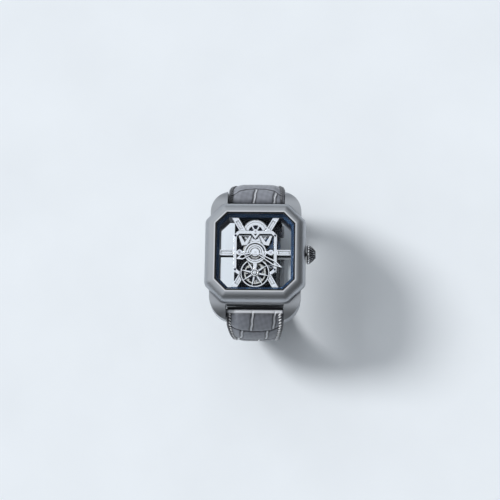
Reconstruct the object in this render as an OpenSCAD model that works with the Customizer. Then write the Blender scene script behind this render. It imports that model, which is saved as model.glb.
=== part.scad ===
// Skeleton tourbillon wristwatch on a closed leather strap.
// +Z is the dial's normal, +X points to the crown and +Y to 12 o'clock.
// The origin lies under the hands' axis, on the plane that the buckle rests on.
// Depths are measured down from the bezel's top edge.

/* [Bezel and crystal] */
// Width of the bezel across its flat sides
bezel_w = 42; // [41.8:0.1:43]
// Length cut from each corner of the bezel, along the side
bezel_cut = 7.3; // [7:0.1:8]
// Width of the bezel's bar, from the outer wall to the opening
bezel_bar = 4.7; // [4.5:0.1:4.9]
// Radius of the bezel's rounded outer edge
bezel_round = 4.2; // [2.5:0.1:4.2]
// Height of the bezel from its top edge to its seat
bezel_h = 5.3; // [4.8:0.1:5.8]
// Chamfer round the bezel's opening
bezel_chamfer = 0.35; // [0.2:0.05:0.5]
// Depth of the front crystal's face
crystal_sink = 0.3; // [0.2:0.05:0.5]
// Thickness of the front crystal
crystal_t = 1.4; // [1.2:0.1:1.6]
// Width of the gasket round the front crystal
gasket_w = 0.3; // [0.25:0.05:0.4]
// Width of the sloped inner flange
flange_w = 1.45; // [1.2:0.05:1.6]
// Thickness of the flange's outer wall
flange_wall = 0.2; // [0.15:0.05:0.3]
// Height of the inner flange
flange_h = 1.2; // [1:0.1:1.25]

/* [Case] */
// Width of the case middle, beside the crown
case_w = 38; // [37.6:0.1:38.4]
// Distance between the tips of opposite lugs
lug_span = 55; // [54.6:0.1:55.6]
// Radius of the case's corners in plan
case_corner_r = 10.3; // [9.5:0.1:10.6]
// Radius of the curve that the lugs follow down from the case
lug_drop_r = 10; // [9.5:0.1:11]
// Distance from the centre at which the lugs start to curve down
lug_drop_start = 20; // [19.6:0.1:20.2]
// Depth of the lugs' lowest edge
lug_bottom = 13.6; // [13.3:0.1:14]
// Depth of the case middle's flat underside
case_bottom = 11.8; // [11.4:0.1:12]
// Gap between the lugs, that the strap fills
strap_gap = 24.1; // [23.6:0.1:24.3]
// Distance from the centre to the case wall between the lugs
case_end = 21.3; // [21.1:0.1:21.5]
// Width of the ledge that the movement ring stands on
ledge_w = 1.1; // [0.8:0.1:1.3]
// Thickness of the case back
back_t = 1.4; // [1.3:0.1:1.6]
// Width of the case back across its sides
back_w = 36.4; // [36:0.2:36.8]
// Width of the case back's bar
back_bar = 3.1; // [3:0.1:3.3]
// Width of the seat under the back crystal
back_seat = 0.4; // [0.35:0.05:0.5]
// Width and height of the back gasket
back_gasket_w = 0.5; // [0.4:0.05:0.6]
// Head radius of a case back screw
back_screw_r = 0.9; // [0.7:0.05:0.9]
// Metal between a screw's head and the case back's edge
back_screw_edge = 0.2; // [0.15:0.05:0.25]

/* [Crown] */
// Largest diameter of the crown
crown_d = 8.2; // [7.6:0.1:8.8]
// Length of the crown along its axis
crown_l = 3.8; // [3.4:0.1:4.4]
// Diameter of the crown's outer face
crown_face_d = 3.8; // [3:0.1:4.6]
// Depth of the crown's axis
crown_depth = 6.5; // [6.45:0.01:6.55]
// Number of flutes round the crown
crown_flutes = 20; // [14:1:26]
// Radius of one flute
crown_flute_r = 0.42; // [0.3:0.02:0.46]
// Radius of the crown tube
tube_r = 1.15; // [1.05:0.05:1.15]
// Radius of the winding stem
stem_r = 0.6; // [0.5:0.05:0.65]
// Inner end of the stem, from the hands' axis
stem_end = 5.2; // [4.6:0.1:6]

/* [Strap] */
// Distance from the centre to each lug's spring bar
bar_y = 24.6; // [24.4:0.05:24.8]
// Depth of the spring bars
bar_depth = 11; // [10.8:0.1:11.2]
// Radius of a spring bar
bar_r = 0.9; // [0.7:0.05:1]
// Radius of a spring bar's end pin
bar_pin_r = 0.5; // [0.4:0.05:0.6]
// Length of a spring bar's end pin
bar_pin_l = 1.4; // [1:0.1:1.8]
// Thickness of the strap at the lugs
strap_t = 4.2; // [3.8:0.1:4.4]
// Thickness of the short strap at the buckle
short_end_t = 2.8; // [2.6:0.1:3]
// Thickness of the long strap's tail
tail_t = 2.2; // [2:0.1:2.4]
// Gap between the two straps where they lie on each other
layer_gap = 0.1; // [0.08:0.01:0.2]
// Half width of the strap at the loop's widest point
strap_mid_half = 10.1; // [9.8:0.1:10.6]
// Half width of the strap at the buckle
strap_end_half = 9; // [8.6:0.1:9.2]
// Depth of the loop's widest point
loop_depth = 25.1; // [24.8:0.1:25.6]
// Radius of the long strap's lower corner
loop_r = 28; // [27:0.5:29]
// Reach of the strap's loop towards 6 o'clock
bulge_6 = 33; // [32.6:0.1:33.4]
// Reach of the strap's loop towards 12 o'clock
bulge_12 = 34.4; // [34:0.1:34.8]
// Angle that the tail runs up beyond the buckle
tail_angle = 60; // [58:1:66]

/* [Buckle and keepers] */
// Thickness of the buckle's front plate
plate_t = 1.8; // [1.6:0.1:2]
// Gap between the front plate and the strap
plate_gap = 0.1; // [0.05:0.05:0.3]
// Edge of the front plate on the 6 o'clock side
plate_start = -3.6; // [-4.4:0.2:-3]
// Edge of the front plate on the 12 o'clock side
plate_end = 2.2; // [2:0.1:2.6]
// Thickness of the buckle's side rails
rail_t = 1.5; // [1.2:0.1:1.8]
// Gap between the strap and a rail
rail_gap = 0.45; // [0.3:0.05:0.6]
// Radius of the buckle's spring bar
buckle_bar_r = 0.7; // [0.5:0.05:0.75]
// Width of the buckle's tongue
tongue_w = 1.7; // [1.4:0.1:2]
// Thickness of the tongue where it lies on the plate
tongue_t = 0.75; // [0.6:0.05:0.8]
// Thickness of a keeper's leather
keeper_t = 1.2; // [1:0.1:1.4]
// Gap between a keeper and the straps
keeper_gap = 0.25; // [0.2:0.05:0.4]
// Angle that a keeper covers along the strap
keeper_span = 10; // [8:1:11]
// Angle that the free keeper slides each way
keeper_travel = 5; // [3:1:5]
// Place of the fixed keeper, up from the buckle's bar
fixed_keeper_at = 20; // [19:1:21]
// Place of the free keeper, up from the buckle's bar
free_keeper_at = 38; // [37:1:40]

/* [Movement plan] */
// Distance from the hands' axis to the barrel's axis
barrel_y = 8.9; // [8.88:0.01:8.92]
// Distance from the hands' axis to the tourbillon's axis
tour_y = 8.5; // [8.48:0.01:8.52]
// Half width of the movement frame
frame_x = 9; // [8.9:0.05:9.2]
// Half length of the movement frame
frame_y = 9.2; // [9.1:0.05:9.4]
// Width of the frame's bars
frame_bar = 1.25; // [1:0.05:1.3]
// Corner cut of the frame
frame_cut = 1.8; // [1.4:0.1:2.2]
// Half of the gap in the frame's lower bar
frame_gap = 6.3; // [6.2:0.05:6.4]
// Width of an hour strut
strut_w = 2.3; // [1.8:0.1:2.5]
// Depth of the channel sunk in an hour strut
strut_sink = 0.35; // [0.2:0.05:0.5]
// Width of the rim beside a strut's channel
strut_rim = 0.5; // [0.3:0.05:0.7]
// Radius of the central disc
dial_r = 4.6; // [4:0.1:4.8]
// Radius of a jewel
jewel_r = 0.6; // [0.4:0.05:0.65]
// Distance of the two large jewels from the hands' axis
jewel_x = 6.5; // [6.2:0.1:6.7]
// Half width of the mainplate's band behind the frame
plate_half = 8.9; // [8.8:0.05:9.1]
// Width of the mainplate's arms at 3 and 9 o'clock
plate_arm = 1.6; // [1.2:0.1:2]
// Reach of the winding side plate, from the hands' axis
side_reach = 11; // [10.4:0.1:11.4]
// Depth of the notches in the side plate's edge
side_notch = 0.5; // [0.3:0.05:0.7]
// Width of the ratchet wheel's rim
ratchet_rim = 2.2; // [1.8:0.1:2.4]
// Step from the frame's face down to its two openwork wings
wing_sink = 0.2; // [0.1:0.05:0.3]
// Width of the movement ring's arm below the mainplate's 3 o'clock arm
guide_w = 0.65; // [0.5:0.05:0.8]
// Radius of the finger bridge's round end
finger_end_r = 1.5; // [1.3:0.05:1.6]
// Outer radius of the opening in the central disc's lower half
dial_open_r = 3.3; // [3:0.05:3.4]
// Gap between a wing and the frame's side bar
wing_gap = 0.3; // [0.2:0.05:0.5]
// Radius of the frame's pillars
pillar_r = 0.6; // [0.4:0.05:0.65]

/* [Movement heights] */
// Gap between the front crystal and the minute hand
head_gap = 0.5; // [0.4:0.05:0.6]
// Thickness of the hands
hand_t = 0.2; // [0.15:0.01:0.25]
// Gap between the hands and over the dial
hand_gap = 0.25; // [0.2:0.01:0.3]
// Thickness of the movement frame and struts
frame_t = 0.9; // [0.8:0.05:0.95]
// Thickness of the central disc
dial_t = 0.4; // [0.3:0.05:0.45]
// Thickness of the finger bridge
finger_t = 0.5; // [0.4:0.05:0.6]
// Air between neighbouring parts of the tourbillon
air = 0.2; // [0.15:0.01:0.25]
// Thickness of the cage's upper and lower plates
cage_t = 0.4; // [0.3:0.05:0.45]
// Height of the hairspring
spring_h = 0.25; // [0.2:0.01:0.3]
// Thickness of the balance rim
balance_t = 0.4; // [0.3:0.05:0.5]
// Thickness of the balance roller
roller_t = 0.25; // [0.2:0.01:0.3]
// Thickness of the pallet fork
fork_t = 0.3; // [0.25:0.01:0.35]
// Thickness of the wheels
wheel_t = 0.2; // [0.15:0.01:0.25]
// Height of the small pinions under the dial
leaves_h = 0.55; // [0.5:0.01:0.6]
// Thickness of the fixed wheel
fixed_t = 0.3; // [0.25:0.01:0.35]
// Height of the barrel drum
drum_h = 2.6; // [2.4:0.05:2.65]
// Thickness of the barrel's toothed floor
drum_floor = 0.4; // [0.3:0.05:0.5]
// Thickness of the mainplate
plate_h = 0.8; // [0.6:0.05:0.9]

/* [Tourbillon] */
// Outer radius of the tourbillon cage
cage_r = 6; // [5.8:0.05:6]
// Width of the cage's ring
cage_ring = 0.4; // [0.3:0.05:0.5]
// Number of spokes of the upper cage
cage_spokes = 8; // [5:1:9]
// Radius of the balance wheel
balance_r = 4.5; // [4:0.05:4.7]
// Number of turns of the hairspring
spring_turns = 6; // [4:1:7]
// Distance from the cage's axis to the escape wheel's axis
escape_at = 3.3; // [3.29:0.01:3.31]
// Radius of the escape wheel
escape_r = 1.5; // [1.4:0.02:1.52]
// Teeth of the escape wheel
escape_teeth = 18; // [15:1:20]
// Distance from the cage's axis to the pallet fork's axis
fork_at = 1.25; // [1.2:0.01:1.3]
// Direction of the escape wheel from the cage's axis
escape_dir = -60; // [-75:5:-45]

/* [Hands] */
// Length of the minute hand
minute_l = 13.2; // [12:0.1:13.6]
// Length of the hour hand
hour_l = 8.4; // [7.6:0.1:9.2]
// Greatest width of the minute hand
minute_w = 2.05; // [1.8:0.05:2.2]
// Greatest width of the hour hand
hour_w = 2.3; // [2:0.05:2.4]
// Radius of the hour hand's hub
hour_hub_r = 1.6; // [1.4:0.05:1.7]
// Radius of the minute hand's hub
minute_hub_r = 1.15; // [1:0.05:1.2]
// Width of a hand's bright outline
hand_line = 0.44; // [0.3:0.02:0.5]
// Minutes shown
minutes = 20; // [0:1:59]
// Hours shown
hours = 8; // [0:1:11]

/* [Hidden] */
$fn = 64;

// Fits
touch = 0.02;
run = 0.05;
slack = 0.15;
far = 60;

// Teeth of the wheels
barrel_teeth = 70;
centre_small_teeth = 44;
centre_teeth = 64;
third_leaves = 8;
third_teeth = 60;
cage_leaves = 8;
fixed_teeth = 80;
escape_leaves = 8;
cannon_teeth = 12;
minute_teeth = 36;
minute_leaves = 10;
hour_teeth = 40;
ratchet_teeth = 60;
crown_wheel_teeth = 44;
winding_teeth = 14;
contrate_teeth = 30;

// The octagons are set in from the bezel's outer sides
bezel_half = bezel_w / 2;
bezel_diag = (bezel_w - bezel_cut) / sqrt(2);
in_open = bezel_bar;
in_crystal = in_open + gasket_w;
in_ring = in_open + touch + 0.08;
in_flange = in_open + flange_w;
in_ledge = in_open + ledge_w;

// Depths from the bezel's top edge, from the crystal down
d_minute = crystal_sink + crystal_t + head_gap;
d_hour = d_minute + hand_t + hand_gap;
d_dial = d_hour + hand_t + hand_gap;
d_flange = crystal_sink + crystal_t + touch;
d_ring = d_flange + flange_h + touch;
d_hour_wheel = d_dial + dial_t + 0.1;
d_cannon = d_hour_wheel + leaves_h;
d_cock = d_cannon + leaves_h;
d_cage = d_dial + finger_t + air;
d_spring = d_cage + cage_t + air - run;
d_balance = d_spring + spring_h + air;
d_roller = d_balance + balance_t + air + run;
d_fork = d_roller + roller_t + air - run;
d_escape = d_fork + (fork_t - wheel_t) / 2;
d_cage_low = d_fork + fork_t + air - run;
d_fixed = d_cage_low + cage_t + air;
d_ratchet = d_dial + frame_t + 0.1;
d_cover = d_ratchet + 2 * wheel_t + 0.1;
d_drum = d_cover + wheel_t;
d_drum_end = d_drum + drum_h;
d_centre = max(d_drum_end, d_fixed + fixed_t) + air;
d_third = d_centre + wheel_t + air;
d_plate = d_third + wheel_t + 0.4;
d_ring_end = d_plate + plate_h + 0.2;
d_back = case_bottom;
d_back_end = case_bottom + back_t;

// The strap's loop, in the plane of Y and Z
flat_z = plate_t + plate_gap;
loop_z = flat_z + loop_r;
top_z = loop_z + loop_depth;
bar_z = top_z - bar_depth;
bar_rise = bar_z - loop_z;
strap_half = strap_gap / 2 - slack;
short_r = loop_r - tail_t - layer_gap;
short_y = bulge_12 - short_r;
long_y = bulge_6 - loop_r;
buckle_z = flat_z + tail_t + layer_gap + short_end_t / 2;
hole_start = short_y - 2.8;
hole_end = short_y - 0.35;

// Axes of the wheels
barrel_mod = 2 * barrel_y / (barrel_teeth + centre_small_teeth);
centre_mod = 0.13;
third_mod = 0.12;
third_a = centre_mod * (centre_teeth + third_leaves) / 2;
third_b = third_mod * (third_teeth + cage_leaves) / 2;
third_y = -(third_a * third_a - third_b * third_b + tour_y * tour_y) / (2 * tour_y);
third_x = sqrt(third_a * third_a - third_y * third_y);
third_dir = atan2(third_y, third_x);
third_to_cage = atan2(-tour_y - third_y, -third_x);
motion_mod = 0.13;
motion_a = motion_mod * (cannon_teeth + minute_teeth) / 2;
motion_dir = 150;
minute_x = motion_a * cos(motion_dir);
minute_y = motion_a * sin(motion_dir);
hour_mod = 2 * motion_a / (minute_leaves + hour_teeth);
crown_wheel_x = 6.6;
crown_wheel_y = 2.8;
ratchet_a = sqrt(crown_wheel_x * crown_wheel_x + (barrel_y - crown_wheel_y) * (barrel_y - crown_wheel_y));
ratchet_mod = 2 * ratchet_a / (ratchet_teeth + crown_wheel_teeth);
ratchet_dir = atan2(crown_wheel_y - barrel_y, crown_wheel_x);
contrate_r = 3.5;
contrate_w = 0.5;
winding_r = 0.95;
fixed_mod = 2 * escape_at / (fixed_teeth + escape_leaves);
third_cock_x = 6.5;
third_cock_y = -5.1;
arbor_r = 0.3;
core_r = 1.1;
drum_r = barrel_teeth * barrel_mod / 2 - 0.3;
drum_wall = 0.35;
pivot_r = 0.15;
strut_dirs = [30, 90, 150, 210, 270, 330];
minute_dir = 90 - 6 * minutes;
hour_dir = 90 - 30 * (hours + minutes / 60);

function z_at(depth) = top_z - depth;

// Outline helpers
function arc(r, from, to, cx, cy, n) = [for (i = [0:n])
    let(a = from + (to - from) * i / n) [cx + r * cos(a), cy + r * sin(a)]];

function tooth(i, teeth, pitch, m) = let(step = 360 / teeth, a = i * step) [
    [(pitch - 1.3 * m) * cos(a - 0.27 * step), (pitch - 1.3 * m) * sin(a - 0.27 * step)],
    [(pitch + 0.85 * m) * cos(a - 0.11 * step), (pitch + 0.85 * m) * sin(a - 0.11 * step)],
    [(pitch + 0.85 * m) * cos(a + 0.11 * step), (pitch + 0.85 * m) * sin(a + 0.11 * step)],
    [(pitch - 1.3 * m) * cos(a + 0.27 * step), (pitch - 1.3 * m) * sin(a + 0.27 * step)]
];

// Draws its 2D children as a plate between two depths
module slab(d1, d2) {
    translate([0, 0, z_at(d2)]) linear_extrude(d2 - d1) children();
}

// An octagonal plate set in from the bezel's outer sides
module oct(inset, d1, d2) {
    translate([0, 0, z_at(d2)]) intersection() {
        translate([inset - bezel_half, inset - bezel_half, 0])
            cube([bezel_w - 2 * inset, bezel_w - 2 * inset, d2 - d1]);
        rotate(45) translate([inset - bezel_diag, inset - bezel_diag, 0])
            cube([2 * (bezel_diag - inset), 2 * (bezel_diag - inset), d2 - d1]);
    }
}

// An octagonal block whose eight sides slope from one inset to another
module oct_taper(inset_top, inset_bottom, d1, d2) {
    intersection_for (a = [0, 45, 90, 135]) {
        half = a % 90 == 0 ? bezel_half : bezel_diag;
        rotate(a) rotate([90, 0, 0]) linear_extrude(far, center = true) polygon([
            [inset_top - half, z_at(d1)], [half - inset_top, z_at(d1)],
            [half - inset_bottom, z_at(d2)], [inset_bottom - half, z_at(d2)]
        ]);
    }
}

// The section of the bezel across two opposite sides, with rounded upper edges
module round_section(half) {
    polygon(concat(
        [[-half, z_at(bezel_h)], [half, z_at(bezel_h)]],
        arc(bezel_round, 0, 90, half - bezel_round, z_at(bezel_round), 12),
        arc(bezel_round, 90, 180, bezel_round - half, z_at(bezel_round), 12)
    ));
}

module round_oct() {
    intersection_for (a = [0, 45, 90, 135]) {
        half = a % 90 == 0 ? bezel_half : bezel_diag;
        rotate(a) rotate([90, 0, 0]) linear_extrude(far, center = true) round_section(half);
    }
}

// Cylinder along X from x1 to x2 at the given Y and Z
module rod_x(r, x1, x2, y, z) {
    translate([x1, y, z]) rotate([0, 90, 0]) cylinder(r = r, h = x2 - x1);
}

// Draws its 2D children, whose axes are Y and Z, as a block centred on X
module across(w) {
    rotate([90, 0, 90]) linear_extrude(w, center = true) children();
}

// Cylinder along Z between two depths
module post(r, d1, d2, x = 0, y = 0) {
    translate([x, y, z_at(d2)]) cylinder(r = r, h = d2 - d1);
}

module gear(teeth, m, phase = 0) {
    rotate(phase) polygon([for (i = [0:teeth - 1]) each tooth(i, teeth, teeth * m / 2, m)]);
}

// Ring with spokes, drawn in 2D
module spoked(outer, inner, hub, spokes, spoke_w) {
    difference() {
        circle(r = outer);
        circle(r = inner);
    }
    circle(r = hub);
    for (i = [0:spokes - 1]) rotate(i * 360 / spokes) translate([hub / 2, -spoke_w / 2])
        square([(outer + inner) / 2 - hub / 2, spoke_w]);
}

// Cuts the spaces between the spokes out of a wheel drawn in 2D
module crossings(outer, hub, spokes, spoke_w) {
    difference() {
        circle(r = outer);
        circle(r = hub);
        for (i = [0:spokes - 1])
            rotate(i * 360 / spokes) translate([0, -spoke_w / 2]) square([outer + 1, spoke_w]);
    }
}

module bezel() {
    color("dimgray") difference() {
        round_oct();
        oct(in_open, -1, bezel_h + 1);
        oct_taper(in_open - 2 * bezel_chamfer, in_open, -bezel_chamfer, bezel_chamfer);
    }
}

module front_crystal() {
    color("lightblue", 0.3) oct(in_crystal + touch, crystal_sink, crystal_sink + crystal_t);
}

module crystal_gasket() {
    color("black") difference() {
        oct(in_open + touch, crystal_sink + 0.1, crystal_sink + crystal_t);
        oct(in_crystal, 0, bezel_h);
    }
}

module flange() {
    slope = flange_w - flange_wall;
    color("midnightblue") difference() {
        oct(in_open + touch, d_flange, d_flange + flange_h);
        oct_taper(in_open + flange_wall - slope, in_open + flange_wall + 2 * slope,
            d_flange - flange_h, d_flange + 2 * flange_h);
        oct(in_flange, 0, far);
    }
}

module case_middle() {
    plan_x = case_w / 2 - case_corner_r;
    plan_y = lug_span / 2 + 0.6 - case_corner_r;
    color("gray") difference() {
        intersection() {
            slab(bezel_h + touch, lug_bottom) {
                square([case_w, 2 * plan_y], center = true);
                square([2 * plan_x, lug_span + 1.2], center = true);
                for (x = [-1, 1], y = [-1, 1]) translate([x * plan_x, y * plan_y]) circle(r = case_corner_r);
            }
            across(far) {
                translate([-lug_drop_start, z_at(case_bottom)]) square([2 * lug_drop_start, case_bottom]);
                for (s = [-1, 1]) intersection() {
                    translate([s * lug_drop_start, z_at(bezel_h + touch + lug_drop_r)])
                        circle(r = lug_drop_r);
                    translate([s * (lug_drop_start + 10) - 10, z_at(lug_bottom)]) square([20, lug_bottom]);
                }
            }
        }
        for (s = [-1, 1]) translate([-strap_gap / 2, s * (case_end + 10) - 10, 0])
            cube([strap_gap, 20, top_z]);
        oct(in_open, 0, d_ring_end + touch);
        oct(in_ledge, 0, far);
        difference() {
            oct(in_gasket() - back_gasket_w / 2, d_back - back_gasket_w, d_back + 1);
            oct(in_gasket() + back_gasket_w / 2, 0, far);
        }
        for (s = [-1, 1]) rod_x(bar_pin_r + run, -bar_reach(), bar_reach(), s * bar_y, bar_z);
        rod_x(tube_r + touch, 0, far, 0, z_at(crown_depth));
        for (x = [-1, 1], y = [-1, 1])
            post(back_screw_r / 2, d_back - 1.6, d_back + 1, x * screw_at(), y * screw_at());
    }
}

// Half length of the lug bores
function bar_reach() = strap_gap / 2 + bar_pin_l + slack;

// Place of a case back screw, on the diagonal
function screw_at() = (bezel_diag - in_back() - back_screw_edge - back_screw_r) / sqrt(2);

// Inset of the case back's outer edge
function in_back() = bezel_half - back_w / 2;

// Inset of the back gasket's middle, just inside the screws
function in_gasket() = in_back() + back_screw_edge + 1.5 * back_screw_r + 0.1 + back_gasket_w / 2;

module movement_ring() {
    color("silver") difference() {
        oct(in_ring, d_ring, d_ring_end);
        oct(in_flange, 0, far);
        rod_x(stem_r + slack, 0, far, 0, z_at(crown_depth));
    }
    color("silver") intersection() {
        oct(in_flange - 0.2, d_plate, d_plate + plate_h);
        slab(d_plate, d_plate + plate_h)
            translate([plate_half + 0.4, -plate_arm / 2 - 0.15 - guide_w]) square([far, guide_w]);
    }
}

module back_gasket() {
    color("black") difference() {
        oct(in_gasket() - back_gasket_w / 2 + touch, d_back - back_gasket_w + touch, d_back);
        oct(in_gasket() + back_gasket_w / 2 - touch, 0, far);
    }
}

module case_back() {
    color("gray") difference() {
        oct(in_back(), d_back + touch, d_back_end);
        oct(in_back() + back_bar, d_back + back_seat, far);
        oct(in_back() + back_bar + back_seat, 0, far);
        for (x = [-1, 1], y = [-1, 1]) {
            post(back_screw_r / 2 + run, 0, far, x * screw_at(), y * screw_at());
            post(back_screw_r + run, d_back_end - 0.5, far, x * screw_at(), y * screw_at());
        }
    }
}

module back_crystal() {
    color("lightblue", 0.3) oct(in_back() + back_bar + touch, d_back + back_seat + touch, d_back_end - 0.1);
}

module back_screws() {
    color("silver") for (x = [-1, 1], y = [-1, 1]) difference() {
        union() {
            post(back_screw_r / 2 - touch, d_back - 1.4, d_back_end - 0.3, x * screw_at(), y * screw_at());
            post(back_screw_r, d_back_end - 0.48, d_back_end - 0.05, x * screw_at(), y * screw_at());
        }
        translate([x * screw_at(), y * screw_at(), z_at(d_back_end)]) rotate(45 * x * y)
            cube([3 * back_screw_r, 0.3, 0.5], center = true);
    }
}

module crown_tube() {
    color("silver") difference() {
        rod_x(tube_r, bezel_half - in_open - 0.1 + 2.8, bezel_half + 0.1, 0, z_at(crown_depth));
        rod_x(stem_r + run, 0, far, 0, z_at(crown_depth));
        rod_x(stem_r + 0.3, bezel_half - 0.9, far, 0, z_at(crown_depth));
    }
}

module crown_gasket() {
    color("black") difference() {
        rod_x(stem_r + 0.28, bezel_half - 0.88, bezel_half - 0.3, 0, z_at(crown_depth));
        rod_x(stem_r + touch, 0, far, 0, z_at(crown_depth));
    }
}

module winding_stem() {
    color("silver") rod_x(stem_r - touch, stem_end, crown_x() + crown_l - 1, 0, z_at(crown_depth));
}

// The crown's inner face
function crown_x() = bezel_half + 0.3;

module crown() {
    slope = atan2(crown_d / 2 - crown_face_d / 2, crown_l - 1);
    color([0.18, 0.19, 0.22]) translate([crown_x(), 0, z_at(crown_depth)]) rotate([0, 90, 0]) difference() {
        rotate_extrude() polygon([
            [stem_r + run, 0], [crown_d / 2 - 0.6, 0], [crown_d / 2, 0.5], [crown_d / 2, 1],
            [crown_face_d / 2, crown_l - 0.2], [crown_face_d / 2 - 0.3, crown_l], [0, crown_l],
            [0, crown_l - 1 + run], [stem_r + run, crown_l - 1 + run]
        ]);
        for (i = [0:crown_flutes - 1]) rotate(i * 360 / crown_flutes) translate([crown_d / 2, 0, 0.9])
            rotate([0, -slope, 0]) translate([0.12, 0, -2]) cylinder(r = crown_flute_r, h = 8, $fn = 24);
    }
}

module spring_bars() {
    color("silver") for (s = [-1, 1]) {
        rod_x(bar_r, -strap_half, strap_half, s * bar_y, bar_z);
        rod_x(bar_pin_r, -strap_gap / 2 - bar_pin_l, strap_gap / 2 + bar_pin_l, s * bar_y, bar_z);
    }
}

// Radius of the strap's upper curve, through the lug bar and the widest point
function upper_r(bulge) = let(a = bar_y - bulge)
    (a * a + bar_rise * bar_rise - strap_t * strap_t / 4) / (-2 * a - strap_t);

// Angle at which the upper curve passes over the lug bar
function upper_from(bulge) = atan2(bar_rise, bar_y - bulge + upper_r(bulge));

// Half of the loop from the lug bar to its lowest point, shifted inwards by a thickness
function half_loop(bulge, low_r, t1, t2, inward) = let(r = upper_r(bulge), from = upper_from(bulge)) [
    for (i = [0:12]) let(a = from * (1 - i / 12), t = inward * (t1 + (t2 - t1) * i / 36))
        [bulge - r + (r - t) * cos(a), loop_z + (r - t) * sin(a)],
    for (i = [1:18]) let(a = -90 * i / 18, t = inward * (t1 + (t2 - t1) * (12 + 24 * i / 18) / 36))
        [bulge - low_r + (low_r - t) * cos(a), loop_z + (low_r - t) * sin(a)]
];

function reversed(p) = [for (i = [len(p) - 1:-1:0]) p[i]];
function flipped(p) = [for (q = p) [-q[0], q[1]]];

// The strap's width, seen along Y
module strap_width() {
    rotate([90, 0, 0]) linear_extrude(2 * far, center = true) polygon([
        [-strap_end_half, 0], [strap_end_half, 0], [strap_mid_half, loop_z], [strap_half, bar_z - 2.5],
        [strap_half, top_z], [-strap_half, top_z], [-strap_half, bar_z - 2.5], [-strap_mid_half, loop_z]
    ]);
}

// Half circle round a bar that joins the strap's two faces, without its end points
function cap(r, from, to, cx, cy) = [for (i = [1:9])
    let(a = from + (to - from) * i / 10) [cx + r * cos(a), cy + r * sin(a)]];

module strap_short() {
    from = upper_from(bulge_12);
    color([0.42, 0.43, 0.46]) difference() {
        intersection() {
            across(far) polygon(concat(
                half_loop(bulge_12, short_r, strap_t, short_end_t, 0),
                cap(short_end_t / 2, -90, -270, short_y, buckle_z),
                reversed(half_loop(bulge_12, short_r, strap_t, short_end_t, 1)),
                cap(strap_t / 2, from + 180, from, bar_y, bar_z)
            ));
            strap_width();
        }
        rod_x(bar_r + run, -far, far, bar_y, bar_z);
        rod_x(buckle_bar_r + run, -far, far, short_y, buckle_z);
        translate([-tongue_w / 2 - slack, short_y - 3, buckle_z - 3]) cube([tongue_w + 2 * slack, 4.6, 6]);
    }
}

module strap_long() {
    from = upper_from(bulge_6);
    color([0.42, 0.43, 0.46]) difference() {
        intersection() {
            across(far) polygon(concat(
                flipped(half_loop(bulge_6, loop_r, strap_t, tail_t, 0)),
                arc(loop_r, -90, tail_angle - 90, short_y, loop_z, 14),
                arc(loop_r - tail_t, tail_angle - 90, -90, short_y, loop_z, 14),
                flipped(reversed(half_loop(bulge_6, loop_r, strap_t, tail_t, 1))),
                flipped(cap(strap_t / 2, from + 180, from, bar_y, bar_z))
            ));
            strap_width();
        }
        rod_x(bar_r + run, -far, far, -bar_y, bar_z);
        translate([-tongue_w / 2 - slack, hole_start, 0])
            cube([tongue_w + 2 * slack, hole_end - hole_start, 6]);
    }
}

module buckle_frame() {
    inner = strap_end_half + rail_gap;
    color("silver") difference() {
        union() {
            translate([-inner - rail_t, plate_start, 0])
                cube([2 * (inner + rail_t), plate_end - plate_start, plate_t]);
            for (s = [-1, 1]) translate([s * (inner + rail_t / 2), 0, 0]) across(rail_t) {
                translate([plate_start, 0]) square([short_y + 1.2 - plate_start, plate_t]);
                translate([short_y - 1.2, 0]) square([2.4, buckle_z]);
                translate([short_y, buckle_z]) circle(r = 1.2);
            }
        }
        rod_x(buckle_bar_r + touch, -far, far, short_y, buckle_z);
        translate([-tongue_w / 2 - slack, 0.5, -1]) cube([tongue_w + 2 * slack, 5, tongue_t + 1.3]);
    }
}

module buckle_bar() {
    inner = strap_end_half + rail_gap + rail_t - 0.1;
    color("silver") rod_x(buckle_bar_r, -inner, inner, short_y, buckle_z);
}

module buckle_tongue() {
    color("silver") across(tongue_w) difference() {
        union() {
            translate([short_y, buckle_z]) circle(r = buckle_bar_r + 0.5);
            translate([short_y - 2.5, 0.2]) square([1.2, buckle_z - 0.7]);
            translate([short_y - 2.5, buckle_z - 1.2]) square([2.5, 0.7]);
            translate([0.65, 0.2]) square([short_y - 1.3 - 0.65, tongue_t]);
        }
        translate([short_y, buckle_z]) circle(r = buckle_bar_r + run);
    }
}

// A leather ring round both straps, that starts at an angle up the 12 o'clock side
module keeper(from, travel) {
    top = from + keeper_span + travel;
    r_out = loop_r + keeper_gap;
    r_in = short_r - short_t_at(top) - keeper_gap;
    half = strap_width_at(top) + keeper_gap;
    translate([0, short_y, loop_z]) rotate([from - 90, 0, 0]) rotate([90, 0, 90])
        rotate_extrude(angle = keeper_span, $fn = 180) difference() {
            translate([r_in - keeper_t, -half - keeper_t])
                square([r_out - r_in + 2 * keeper_t, 2 * (half + keeper_t)]);
            translate([r_in, -half]) square([r_out - r_in, 2 * half]);
        }
}

// Thickness of the short strap at an angle up the 12 o'clock side
function short_t_at(a) = strap_t + (short_end_t - strap_t) * (12 + 24 * (90 - a) / 90) / 36;

// Half width of the strap at an angle up the 12 o'clock side
function strap_width_at(a) = strap_end_half + (strap_mid_half - strap_end_half)
    * (loop_z - short_r * cos(a) + 4) / loop_z;

module fixed_keeper() {
    color([0.36, 0.37, 0.4]) keeper(fixed_keeper_at, 0);
}

module free_keeper() {
    color([0.36, 0.37, 0.4]) keeper(free_keeper_at, keeper_travel);
}

module rect_cut(x, y, cut) {
    polygon([[x - cut, y], [x, y - cut], [x, cut - y], [x - cut, -y],
        [cut - x, -y], [-x, cut - y], [-x, y - cut], [cut - x, y]]);
}

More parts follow.
